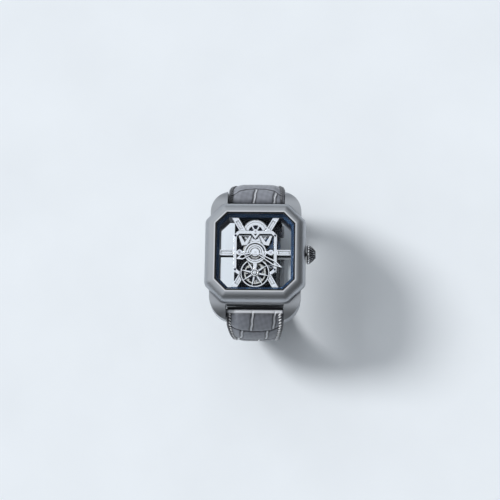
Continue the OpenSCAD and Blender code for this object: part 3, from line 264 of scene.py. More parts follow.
@dataclass(frozen=True)
class MetalFinish:
    """A metal, coated metal, jewel, thread or rubber surface.

    Inside its boxes of painted light, each range along one axis, it takes their colour, a painted shadow or
    highlight, or else its edges' painted highlight colour.
    """

    name: str
    colour: Colour
    roughness: float
    metallic: float = 1.0
    spread: float = 0.06
    grain: float = 9000
    depth: float = 0.000004
    strength: float = 0.25
    # painted highlight on outer edges: its colour, the edge's width and how strongly it shows
    edge_highlight_colour: Optional[Colour] = None
    edge_radius: float = 0.12
    edge_gain: float = 2.5
    # painted shade in crevices: its share, how far it looks and how dark it gets
    crevice_shade: float = 0.0
    reach: float = 0.8
    coat: float = 0.0
    brushed: bool = False
    # painted light: boxes whose colour stands in for a shadow or a highlight, and that colour
    painted_light_ranges: Sequence[Tuple[str, float, float]] = ()
    painted_light_colour: Optional[Colour] = None
    low_tone: float = 0.86
    high_tone: float = 1.1
    crevice_shade_tone: float = 0.06
    least_roughness: float = 0.02

    def build(self, effects: Effects) -> bpy.types.Material:
        """Builds the material from its grain, edges and colour.

        Args:
            effects: the shared shader groups.

        Returns:
            The material.
        """
        material, nodes, shader = new_material(self.name)
        if self.brushed:
            grain = effects.place(nodes, Effect.LINES, Across=self.grain)
        else:
            grain = effects.place(nodes, Effect.GRAIN, Scale=self.grain)
        tone = grain.outputs["Tone"]
        colour = nodes.mix(tone, shaded(self.colour, self.low_tone), shaded(self.colour, self.high_tone))
        # painted highlight: outer edges are lightened towards the edge colour
        if self.edge_highlight_colour and self.edge_gain:
            edges = effects.place(nodes, Effect.EDGES, Radius=self.edge_radius * MM, Gain=self.edge_gain)
            colour = nodes.mix(edges.outputs["Edge"], colour, self.edge_highlight_colour)
        # painted light: a painted shadow or highlight inside the listed boxes
        if self.painted_light_ranges:
            colour = nodes.mix(self._in_painted_light(nodes), colour, self.painted_light_colour or self.edge_highlight_colour)
        # painted shade: the colour darkens where ambient occlusion finds parts close by
        if self.crevice_shade:
            shade_in_crevices = effects.place(nodes, Effect.CREVICES, Distance=self.reach * MM)
            share = nodes.math("MULTIPLY", shade_in_crevices.outputs["Crevice"], self.crevice_shade)
            colour = nodes.mix(share, colour, shaded(self.colour, self.crevice_shade_tone))
        bump = nodes.add("ShaderNodeBump", {
            "Height": grain.outputs["Height"], "Strength": self.strength, "Distance": self.depth})
        smoothest = max(self.least_roughness, self.roughness - self.spread)
        nodes.fill(shader, {
            "Metallic": self.metallic, "Coat Weight": self.coat, "Base Color": colour,
            "Roughness": nodes.span(tone, smoothest, self.roughness + self.spread),
            "Normal": bump.outputs[0]})
        return material

    def _in_painted_light(self, nodes: Nodes) -> Socket:
        """Finds the space inside every range of the painted light boxes, where a painted shadow or highlight
        goes.

        Args:
            nodes: the material's nodes.

        Returns:
            A mask, 1 inside.
        """
        inside = 1.0
        for axis, low, high in self.painted_light_ranges:
            place = nodes.add("ShaderNodeSeparateXYZ", {0: nodes.place()}).outputs[axis]
            start, end = (nodes.math("GREATER_THAN", place, limit * MM) for limit in (low, high))
            inside = nodes.math("MULTIPLY", inside, nodes.math("SUBTRACT", start, end))
        return inside


@dataclass(frozen=True)
class GlassFinish:
    """Clear crystal that lets lamps through. Its low index stands for a coat against reflections."""

    name: str
    tint: Colour
    roughness: float = 0.0
    ior: float = 1.12

    def build(self, effects: Effects) -> bpy.types.Material:
        """Builds the material, which lets shadow rays pass straight.

        Args:
            effects: the shared shader groups, which clear crystal doesn't need.

        Returns:
            The material.
        """
        material, nodes, shader = new_material(self.name)
        nodes.fill(shader, {"Base Color": (*self.tint, 1), "Roughness": self.roughness,
                            "Transmission Weight": 1.0, "IOR": self.ior})
        path = nodes.add("ShaderNodeLightPath")
        clear = nodes.add("ShaderNodeBsdfTransparent", {"Color": (*self.tint, 1)})
        mixed = nodes.add("ShaderNodeMixShader", {
            0: path.outputs["Is Shadow Ray"], 1: shader.outputs[0], 2: clear.outputs[0]})
        nodes.fill(material.node_tree.nodes["Material Output"], {0: mixed.outputs[0]})
        return material


@dataclass(frozen=True)
class LeatherFinish:
    """Hide whose grooves are paler than its scales, read from the mesh's own groove and tone values, which
    also carry painted shade and painted highlights.
    """

    name: str
    colour: Colour
    groove: Colour
    roughness: float = 0.42
    pores: float = 900
    depth: float = 0.00006
    strength: float = 0.35
    darkest: float = 0.07
    palest: float = 1.6
    wear: float = 0.5
    worn_tone: float = 0.55
    gloss_span: Pair = (-0.1, 0.14)

    def build(self, effects: Effects) -> bpy.types.Material:
        """Builds the material from its pores, scales and grooves.

        Args:
            effects: the shared shader groups.

        Returns:
            The material.
        """
        material, nodes, shader = new_material(self.name)
        hide = effects.place(nodes, Effect.HIDE, Scale=self.pores)
        groove, tone = (nodes.add("ShaderNodeAttribute", attribute_name=name).outputs["Fac"]
                        for name in ("groove", "tone"))
        scales = nodes.mix(tone, shaded(self.colour, self.darkest), shaded(self.colour, self.palest))
        wear = nodes.math("MULTIPLY", hide.outputs["Tone"], self.wear)
        colour = nodes.mix(groove, nodes.mix(wear, scales, shaded(self.colour, self.worn_tone)), self.groove)
        bump = nodes.add("ShaderNodeBump", {
            "Height": hide.outputs["Height"], "Strength": self.strength, "Distance": self.depth})
        rough = nodes.span(hide.outputs["Tone"], *(self.roughness + change for change in self.gloss_span))
        nodes.fill(shader, {"Base Color": colour, "Roughness": rough, "Normal": bump.outputs[0]})
        return material


class Look(Enum):
    """Every finish on the watch."""

    # crevice values paint shade into grooves and gaps
    # edge colours paint highlights onto outer edges
    CASE = MetalFinish("case_titanium", (0.445, 0.462, 0.488), 0.4, grain=14000, depth=0.000006,
                       strength=0.3, edge_highlight_colour=(0.6, 0.61, 0.63), crevice_shade=0.5, reach=0.6)
    STEEL = MetalFinish("polished_steel", (0.78, 0.79, 0.82), 0.13, spread=0.05, grain=5000, strength=0.08,
                        edge_highlight_colour=(1.0, 1.0, 1.0), edge_radius=0.14, edge_gain=4.0, crevice_shade=0.97, reach=0.9)
    # painted shadow: a near-black band under the frame's top bar, where the wings sit lower
    FRAME = replace(STEEL, name="frame_steel", painted_light_colour=(0.012, 0.014, 0.02),
                    painted_light_ranges=(("X", -7.7, 7.7), ("Y", 7.15, 7.95), ("Z", 50.0, 51.78)))
    HANDS = MetalFinish("hand_polish", (0.85, 0.86, 0.89), 0.14, grain=5000, strength=0.08,
                        edge_highlight_colour=(1.0, 1.0, 1.0), edge_radius=0.06)
    SATIN = MetalFinish("satin_steel", (0.45, 0.46, 0.49), 0.28, grain=12000, brushed=True, crevice_shade=0.8)
    NAVY = MetalFinish("flange_navy", (0.012, 0.034, 0.078), 0.36, metallic=0.2, grain=7000, coat=0.1)
    PLATE = MetalFinish("plate_dark", (0.012, 0.014, 0.02), 0.4, metallic=0.8, grain=9000,
                        edge_highlight_colour=(0.10, 0.11, 0.14), edge_radius=0.08)
    # painted highlights: strongly lightened edges and a pale band at the crown's base that the flutes cut
    # into dots
    CROWN = MetalFinish("crown_dark", (0.06, 0.063, 0.075), 0.22, grain=9000, edge_highlight_colour=(0.9, 0.91, 0.93),
                        edge_radius=0.25, edge_gain=7.0, painted_light_ranges=(("X", 21.95, 22.5),))
    # painted highlight: the ring's guide arm beside the stem is painted pale, though it lies deep in shade
    RING = MetalFinish("ring_dark", (0.007, 0.014, 0.032), 0.4, metallic=0.4, grain=9000,
                       painted_light_colour=(0.9, 0.91, 0.94), painted_light_ranges=(("X", 5.0, 20.0), ("Y", -1.7, -0.9)))
    # painted highlight: the light line on the bezel's inner rim
    RHODIUM = MetalFinish("bezel_painted_highlight", (0.66, 0.675, 0.70), 0.5, metallic=0.5, grain=12000,
                          strength=0.2, edge_highlight_colour=(0.95, 0.95, 0.97), crevice_shade=0.5, reach=0.4)
    GILT = MetalFinish("pale_gilt", (0.60, 0.59, 0.565), 0.24, grain=11000, brushed=True, crevice_shade=0.8)
    BLUED = MetalFinish("blued_steel", (0.03, 0.045, 0.09), 0.2, grain=7000)
    JEWEL = MetalFinish("pale_jewel", (0.5, 0.51, 0.58), 0.1, metallic=0.0, grain=3000, coat=0.6, crevice_shade=0.7)
    RUBBER = MetalFinish("gasket_rubber", (0.012, 0.012, 0.013), 0.6, metallic=0.0, grain=6000, depth=0.00001)
    THREAD = MetalFinish("waxed_thread", (0.78, 0.79, 0.81), 0.6, metallic=0.0, grain=9000, depth=0.00002,
                         strength=0.6)
    # painted shade: a darker copy of the same thread, for the upper half's stitches
    TWINE = replace(THREAD, name="shaded_thread", colour=(0.13, 0.135, 0.145))
    EDGE = MetalFinish("edge_paint", (0.035, 0.037, 0.042), 0.42, metallic=0.0, grain=2500, depth=0.00002)
    CRYSTAL = GlassFinish("sapphire", (0.97, 0.985, 1.0))
    HIDE = LeatherFinish("alligator_grey", (0.205, 0.215, 0.245), (0.86, 0.88, 0.92), roughness=0.33)
    LINING = LeatherFinish("lining_calf", (0.05, 0.052, 0.058), (0.05, 0.052, 0.058), roughness=0.6,
                           pores=1500)


class Wardrobe:
    """Builds each finish when it is first asked for."""

    def __init__(self, effects: Effects) -> None:
        """Keeps the shared shader groups."""
        self.effects = effects
        self.made: Dict[Look, bpy.types.Material] = {}

    def get(self, look: Look) -> bpy.types.Material:
        """Returns the material of a finish.

        Args:
            look: which finish.

        Returns:
            Its material, built when it is first asked for.
        """
        if look not in self.made:
            self.made[look] = look.value.build(self.effects)
        return self.made[look]


# Mesh building

def make_mesh(name: str, points: np.ndarray, faces: Faces, materials: Sequence[bpy.types.Material],
              places: Optional[Sequence[int]] = None, smooth: bool = True) -> bpy.types.Object:
    """Makes an object from points in millimetres.

    Args:
        name: the piece's name.
        points: one row per vertex.
        faces: vertex numbers of each face.
        materials: the materials, in order.
        places: each face's place in the materials.
        smooth: whether faces are shaded smooth.

    Returns:
        The new object, linked to the scene.
    """
    mesh = bpy.data.meshes.new(name)
    mesh.from_pydata((np.asarray(points, float) * MM).tolist(), [], faces)
    for material in materials:
        mesh.materials.append(material)
    if places is not None:
        mesh.polygons.foreach_set("material_index", np.asarray(places, np.int32))
    mesh.polygons.foreach_set("use_smooth", np.full(len(mesh.polygons), smooth))
    mesh.validate()
    mesh.update()
    piece = bpy.data.objects.new(name, mesh)
    bpy.context.scene.collection.objects.link(piece)
    return piece


def give_values(piece: bpy.types.Object, name: str, values: np.ndarray) -> None:
    """Stores one number per vertex on a piece, for its material to read."""
    stored = piece.data.attributes.new(name, "FLOAT", "POINT")
    stored.data.foreach_set("value", np.asarray(values, np.float32).ravel())


def grid_faces(rows: int, columns: int, wrap_rows: bool = False, wrap_columns: bool = False) -> Faces:
    """Makes the quads of a grid of vertices that are numbered row by row.

    Args:
        rows: how many rows of vertices there are.
        columns: how many vertices a row has.
        wrap_rows: whether the last row joins the first.
        wrap_columns: whether each row's last vertex joins its first.

    Returns:
        The quads.
    """
    faces = []
    for i in range(rows if wrap_rows else rows - 1):
        for j in range(columns if wrap_columns else columns - 1):
            k, m = (i + 1) % rows, (j + 1) % columns
            faces.append((i * columns + j, i * columns + m, k * columns + m, k * columns + j))
    return faces


def tube_faces(rings: int, sides: int) -> Faces:
    """Returns the faces of a tube of rings that is closed at both ends."""
    first, shift = tuple(range(sides)), (rings - 1) * sides
    return grid_faces(rings, sides, wrap_columns=True) + [first, tuple(shift + j for j in first[::-1])]


def turned(faces: Faces, turn: bool = True) -> Faces:
    """Returns faces that look the other way, or as they are when turn is false."""
    return [face[::-1] for face in faces] if turn else faces


def smooth_step(low: float, high: float, value: np.ndarray) -> np.ndarray:
    """Returns 0 below low, 1 above high and a smooth rise between."""
    t = np.clip((value - low) / (high - low), 0, 1)
    return t * t * (3 - 2 * t)


def ridge(value: np.ndarray, width: float, at: float = 0.0) -> np.ndarray:
    """Returns 1 where a value is at a place, falling to 0 on both sides over about a width."""
    return np.exp(-((value - at) / width) ** 2)


def facing(angle: float) -> np.ndarray:
    """Returns the unit vector at an angle in radians."""
    return np.array([math.cos(angle), math.sin(angle)])


@dataclass
class Seam:
    """Stitches sewn as short bowed threads that dip into the leather at both ends."""

    reach: float = 0.74
    thick: float = 0.34
    flat: float = 0.8
    rise: float = 0.2
    sink: float = 0.06
    rings: int = 7
    sides: int = 8
    points: List[np.ndarray] = field(default_factory=list)
    faces: Faces = field(default_factory=list)

    def sew(self, centre: np.ndarray, along: np.ndarray, up: np.ndarray, size: float) -> None:
        """Adds one stitch.

        Args:
            centre: middle of the stitch, on the leather.
            along: unit vector along the stitch.
            up: unit vector out of the leather.
            size: scale of the stitch, where 1 is 1.5 mm long.
        """
        across, start = np.cross(along, up), len(self.points)
        for i in range(self.rings):
            t = i / (self.rings - 1) * 2 - 1
            r = self.thick * size * math.sqrt(max(0.02, 1 - t ** 4))
            middle = centre + size * (along * self.reach * t + up * (self.rise * (1 - t * t) - self.sink))
            for j in range(self.sides):
                c, s = facing(2 * math.pi * j / self.sides)
                self.points.append(middle + across * r * c + up * r * self.flat * s)
        self.faces += [tuple(start + v for v in face) for face in tube_faces(self.rings, self.sides)]

    def build(self, name: str, body: str, material: bpy.types.Material) -> None:
        """Makes one piece of all its stitches and lets it ride a body."""
        piece = make_mesh(name, np.array(self.points), self.faces, [material])
        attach(piece, body)


class Trimmer:
    """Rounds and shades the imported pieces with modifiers, which leave their meshes as they are."""

    sharp_from = math.radians(28)
    round_from = math.radians(32)
    flat_below = math.radians(0.6)
    join_within = 1e-6

    def __init__(self) -> None:
        """Builds the two node trees that the modifiers share."""
        self.joined = self._joining()
        self.shaded = self._shading()

    @staticmethod
    def _tree(name: str) -> Tuple[Nodes, Socket]:
        """Starts a geometry tree.

        Args:
            name: the tree's name.

        Returns:
            Its nodes and the geometry that it gets.
        """
        tree = bpy.data.node_groups.new(name, "GeometryNodeTree")
        for way in ("INPUT", "OUTPUT"):
            tree.interface.new_socket(name="Geometry", in_out=way, socket_type="NodeSocketGeometry")
        nodes = Nodes(tree)
        return nodes, nodes.add("NodeGroupInput").outputs[0]

    def _joining(self) -> bpy.types.NodeTree:
        """Builds the tree that joins split vertices."""
        nodes, given = self._tree("join_faces")
        bare = nodes.add("GeometryNodeRemoveAttribute", {"Geometry": given, "Name": "custom_normal"})
        joined = nodes.add("GeometryNodeMergeByDistance", {
            "Geometry": bare.outputs[0], "Distance": self.join_within})
        nodes.add("NodeGroupOutput", {"Geometry": joined.outputs[0]})
        return nodes.tree

    def _shading(self) -> bpy.types.NodeTree:
        """Builds the tree that shades smooth and keeps sharp edges sharp."""
        nodes, given = self._tree("shade_by_angle")
        angle = nodes.add("GeometryNodeInputMeshEdgeAngle").outputs[0]
        soft = nodes.add("GeometryNodeSetShadeSmooth", {
            "Geometry": given, "Shade Smooth": True}, domain="FACE")
        sharp = nodes.add("GeometryNodeSetShadeSmooth", {
            "Geometry": soft.outputs[0], "Selection": nodes.math("GREATER_THAN", angle, self.sharp_from),
            "Shade Smooth": False}, domain="EDGE")
        nodes.add("NodeGroupOutput", {"Geometry": sharp.outputs[0]})
        return nodes.tree

    def trim(self, piece: bpy.types.Object, round_by: float, segments: int) -> None:
        """Rounds a piece's edges and shades it.

        Args:
            piece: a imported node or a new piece.
            round_by: the width of the rounded edge, or 0 for none.
            segments: how many faces the rounding has.
        """
        piece.modifiers.new("join", "NODES").node_group = self.joined
        if round_by:
            flat = piece.modifiers.new("flat", "DECIMATE")
            flat.decimate_type, flat.angle_limit = "DISSOLVE", self.flat_below
            edge = piece.modifiers.new("edge", "BEVEL")
            edge.width, edge.segments, edge.limit_method = round_by * MM, segments, "ANGLE"
            edge.angle_limit, edge.use_clamp_overlap = self.round_from, True
        piece.modifiers.new("shade", "NODES").node_group = self.shaded
        normals = piece.modifiers.new("normals", "WEIGHTED_NORMAL")
        normals.keep_sharp, normals.weight = True, 60


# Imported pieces

@dataclass(frozen=True)
class Coat:
    """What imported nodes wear."""

    look: Look
    names: str
    round_by: float = 0.0
    segments: int = 2


@dataclass
class PackedPieces:
    """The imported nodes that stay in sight, with the finish and edge rounding of each."""

    coats: Sequence[Coat] = (
        Coat(Look.CRYSTAL, "front_crystal back_crystal"),
        Coat(Look.RUBBER, "crystal_gasket back_gasket crown_gasket"),
        Coat(Look.NAVY, "flange", 0.05),
        Coat(Look.NAVY, "crown_wheel", 0.03),
        Coat(Look.RING, "movement_ring", 0.05),
        Coat(Look.CASE, "case_middle", 0.35, 3),
        Coat(Look.CASE, "buckle_frame", 0.3, 3),
        Coat(Look.CASE, "case_back", 0.2),
        Coat(Look.CROWN, "crown", 0.06),
        Coat(Look.STEEL, "buckle_tongue", 0.2, 3),
        Coat(Look.FRAME, "movement_frame", 0.14),
        Coat(Look.STEEL, "finger_bridge", 0.1),
        Coat(Look.STEEL, "hour_struts", 0.09),
        Coat(Look.STEEL, "back_screws", 0.06),
        Coat(Look.STEEL, "central_disc cage_upper", 0.05),
        Coat(Look.STEEL, "ratchet_wheel", 0.03),
        Coat(Look.STEEL, "winding_stem frame_pillars escape_wheel balance_staff"),
        Coat(Look.PLATE, "mainplate", 0.08),
        Coat(Look.PLATE, "centre_cock", 0.06),
        Coat(Look.PLATE, "barrel_cover", 0.05),
        Coat(Look.PLATE, "cage_lower", 0.04),
        # painted shade: the spring bars are near-black to darken the gap between bezel and strap
        Coat(Look.PLATE, "spring_bars fixed_wheel"),
        Coat(Look.SATIN, "third_cock", 0.05),
        Coat(Look.SATIN, "crown_tube buckle_bar barrel_drum barrel_arbor winding_pinion"),
        Coat(Look.SATIN, "cannon_pinion pallet_fork"),
        Coat(Look.JEWEL, "frame_jewels", 0.06),
        Coat(Look.HANDS, "minute_hand hour_hand", 0.04),
        Coat(Look.GILT, "balance_wheel", 0.05),
        Coat(Look.GILT, "centre_wheel minute_wheel hour_wheel third_wheel"),
        Coat(Look.BLUED, "bridge_screws", 0.03),
        Coat(Look.BLUED, "mainspring hairspring"),
    )

    def dress(self, nodes: Dict[str, bpy.types.Object], wardrobe: Wardrobe, trimmer: Trimmer) -> None:
        """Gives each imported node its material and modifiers.

        Args:
            nodes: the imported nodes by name.
            wardrobe: where the materials come from.
            trimmer: what rounds and shades the nodes.
        """
        for coat in self.coats:
            for name in coat.names.split():
                nodes[name].data.materials.clear()
                nodes[name].data.materials.append(wardrobe.get(coat.look))
                trimmer.trim(nodes[name], coat.round_by, coat.segments)
                LOG.info("dressed %s in %s", name, coat.look.value.name)


# Bezel

@dataclass
class Bezel:
    """The octagonal bezel, with soft corners that follow its rounded edge."""

    half: float = 21.0
    cut: float = 7.3
    bar: float = 4.7
    edge_r: float = 4.2
    height: float = 5.3
    chamfer: float = 0.35
    top: float = 55.0
    # width of the painted highlight line inside the chamfer
    line: float = 0.95
    foot: float = 0.12
    corner_r: float = 2.6
    least_r: float = 0.25
    rim_r: Sequence[float] = (0.3, 0.27, 0.22, 0.2, 0.2)
    ease: Pair = (0.04, 0.03)
    corner_steps: int = 8
    edge_steps: int = 16
    # painted light: satin, a highlight line, painted shade on the inner wall and on the chamfer
    looks: Sequence[Look] = (Look.CASE, Look.RHODIUM, Look.RUBBER, Look.PLATE)

    def outline(self, inset: float, radius: float) -> np.ndarray:
        """Makes the octagon with rounded corners.

        Args:
            inset: how far it lies inside the bezel's outer sides.
            radius: radius of its corners.

        Returns:
            Its points in X and Y.
        """
        diagonal = (2 * self.half - self.cut) / math.sqrt(2)
        points = []
        for k in range(8):
            first, second = math.radians(45 * k), math.radians(45 * (k + 1))
            sides = np.array([self.half, diagonal] if k % 2 == 0 else [diagonal, self.half])
            centre = np.linalg.solve(np.array([facing(first), facing(second)]), sides - inset - radius)
            for a in np.linspace(first, second, self.corner_steps + 1):
                points.append(centre + radius * facing(a))
        return np.array(points)

    def profile(self) -> List[Point]:
        """Goes from the outer foot, over the top, to the inner foot.

        Returns:
            (inset, depth, corner radius) of each row.
        """
        rows = [(self.foot, self.height, self.corner_r), (0.0, self.height - self.foot, self.corner_r)]
        for a in np.linspace(0, math.pi / 2, self.edge_steps + 1):
            inset = self.edge_r * (1 - math.cos(a))
            radius = self.corner_r * (1 - inset / self.bar) + self.least_r
            rows.append((inset, self.edge_r * (1 - math.sin(a)), radius))
        rim, (in_by, down_by) = self.bar - self.chamfer, self.ease
        places = ((rim, 0.0), (rim + in_by, down_by), (self.bar - in_by, self.chamfer - down_by),
                  (self.bar, self.chamfer), (self.bar, self.height))
        return rows + [(*place, radius) for place, radius in zip(places, self.rim_r)]

    def part_of(self, inset: float, depth: float) -> int:
        """Chooses the finish of the faces that start at a row of the profile.

        Args:
            inset: the row's inset.
            depth: its depth below the top.

        Returns:
            The place in looks: 0 satin, 1 painted highlight line, 2 painted shade on the inner wall, 3
                painted shade on the chamfer.
        """
        if depth == self.height:
            return 0
        if inset >= self.bar:
            return 2
        if inset >= self.bar - self.chamfer:
            return 3
        return 1 if inset >= self.bar - self.line else 0

    def build(self, wardrobe: Wardrobe, trimmer: Trimmer) -> None:
        """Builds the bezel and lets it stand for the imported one.

        Args:
            wardrobe: where the materials come from.
            trimmer: what shades the ring.
        """
        profile, rows = self.profile(), []
        for inset, depth, radius in profile:
            ring = self.outline(inset, radius)
            rows.append(np.column_stack([ring, np.full(len(ring), self.top - depth)]))
        count = len(rows[0])
        faces = grid_faces(len(rows), count, wrap_rows=True, wrap_columns=True)
        places = [self.part_of(inset, depth) for inset, depth, _ in profile for _ in range(count)]
        looks = [wardrobe.get(look) for look in self.looks]
        piece = make_mesh("bezel_ring", np.vstack(rows), faces, looks, places)
        piece.modifiers.new("shade", "NODES").node_group = trimmer.shaded
        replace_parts(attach(piece, "root"), "bezel")
        LOG.info("built bezel_ring, %d faces", len(faces))


# Strap

@dataclass(frozen=True)
class Route:
    """One strap half from the side, in Y and Z: outer points, inner points and outward directions."""

    run: np.ndarray
    outer: np.ndarray
    inner: np.ndarray
    normal: np.ndarray

    def thick(self) -> np.ndarray:
        """Returns the leather's thickness at each point."""
        return np.linalg.norm(self.outer - self.inner, axis=1)


@dataclass(frozen=True)
class LoopPlan:
    """Sizes of the closed strap's loop."""

    bar_y: float = 24.6
    bar_z: float = 44.0
    loop_z: float = 29.9
    lug_t: float = 4.2
    lug_gap: float = 24.1
    short_y: float = 8.7
    short_r: float = 25.7
    short_t: float = 2.8
    long_r: float = 28.0
    long_t: float = 2.2
    buckle_z: float = 5.6
    width_at: Sequence[float] = (0, 29.9, 41.5, 55)
    half_widths: Sequence[float] = (9.0, 10.1, 11.9, 11.9)
    upper_share: float = 1 / 3

    def upper(self, bulge: float) -> Pair:
        """Finds the curve that leaves the lug bar.

        Args:
            bulge: how far out in Y the loop reaches.

        Returns:
            Its radius and the angle at which it starts.
        """
        a, rise = self.bar_y - bulge, self.bar_z - self.loop_z
        r = (a * a + rise * rise - self.lug_t ** 2 / 4) / (-2 * a - self.lug_t)
        return r, math.atan2(rise, a + r)

    def width(self, z: np.ndarray) -> np.ndarray:
        """Returns the strap's half width at a height."""
        return np.interp(z, self.width_at, self.half_widths)

    def half_loop(self, bulge: float, low_r: float, end_t: float) -> List[Tuple[float, ...]]:
        """Follows one side of the loop down from the lug.

        Args:
            bulge: how far out in Y the loop reaches.
            low_r: radius of its lower curve.
            end_t: the leather's thickness at its lower end.

        Returns:
            (centre y, radius, angle, thickness) at each step. The centre's height is loop_z.
        """
        high_r, start = self.upper(bulge)
        high = zip(np.linspace(start, 0, 121), np.linspace(0, self.upper_share, 121))
        low = zip(np.linspace(0, -math.pi / 2, 181)[1:], np.linspace(self.upper_share, 1, 181)[1:])
        steps = [(high_r, *step) for step in high] + [(low_r, *step) for step in low]
        return [(bulge - r, r, a, self.lug_t + (end_t - self.lug_t) * share) for r, a, share in steps]


@dataclass(frozen=True)
class Mark:
    """A change of tone or depth near a line: how much, over which width and how far from the line."""

    by: float
    width: float
    at: float = 0.0

    def near(self, distance: np.ndarray) -> np.ndarray:
        """Returns the change at a distance from the line."""
        return self.by * ridge(distance, self.width, self.at)


@dataclass(frozen=True)
class Relief:
    """Widths and depths of the leather's scales, grooves and edges."""

    row: float = 0.34
    groove: float = 0.3
    groove_depth: float = 0.24
    pillow: float = 0.8
    pillow_depth: float = 0.16
    inside: Pair = (1.0, 2.1)
    pad: Pair = (1.2, 5.2)
    seam: Mark = Mark(0.16, 0.5, 1.45)
    edge_r: float = 0.5
    thin_edge: float = 0.42
    deepest: float = 0.46
    deepest_inside: float = 0.3
    end: float = 1.0
    shifts: Pair = (-4, 4)
    pitches: Pair = (8.6, 10.4)
    shade_count: int = 9
    narrower: float = 0.02
    shortest: float = 4.2
    shorter: float = 0.93
    bow_power: float = 2.2
    waver: float = 0.12
    far: float = 9.0


@dataclass(frozen=True)
class Tones:
    """How the leather's tone, from 0 to 1, changes near its grooves, seams and lug, with painted shade and
    painted highlights.
    """

    # painted light: shade at the margin, in the row grooves, beside the column grooves and along the seam,
    # and a highlight band beside each row
    margin: float = -0.4
    row: float = -1.2
    groove_side_shade: Mark = Mark(-0.8, 0.3, 0.66)
    lit: Mark = Mark(0.32, 0.45, 0.85)
    sewn: Mark = Mark(-0.7, 0.6, 1.45)
    mottle: float = 0.1
    # painted highlight on the rolled end at the lug, and painted shade just below it
    roll: float = 0.95
    shade_below_roll: Mark = Mark(-0.5, 1.5)
    lining: float = 0.5


@dataclass(frozen=True)
class Holes:
    """Sizes of the tongue's slots and the spare holes, and their places from the buckle."""

    slot: Point = (2.0, 2.5, 6.0)
    slot_in: float = 1.57
    slot_z: float = 3.0
    end_slot: Point = (2.0, 4.6, 6.0)
    end_in: float = 0.7
    spare: Point = (1.7, 1.7, 6.0)
    spare_runs: Sequence[float] = (-19.5, -13.0, -6.5)
    spare_sides: int = 20


@dataclass(frozen=True)
class Skin:
    """Distances of each point of the leather: from the lug, the centre line, the edge and two grooves.

    The distance to the nearest row groove, past, is negative on the case's side of it.
    """

    run: np.ndarray
    x: np.ndarray
    edge: np.ndarray
    near: np.ndarray
    past: np.ndarray


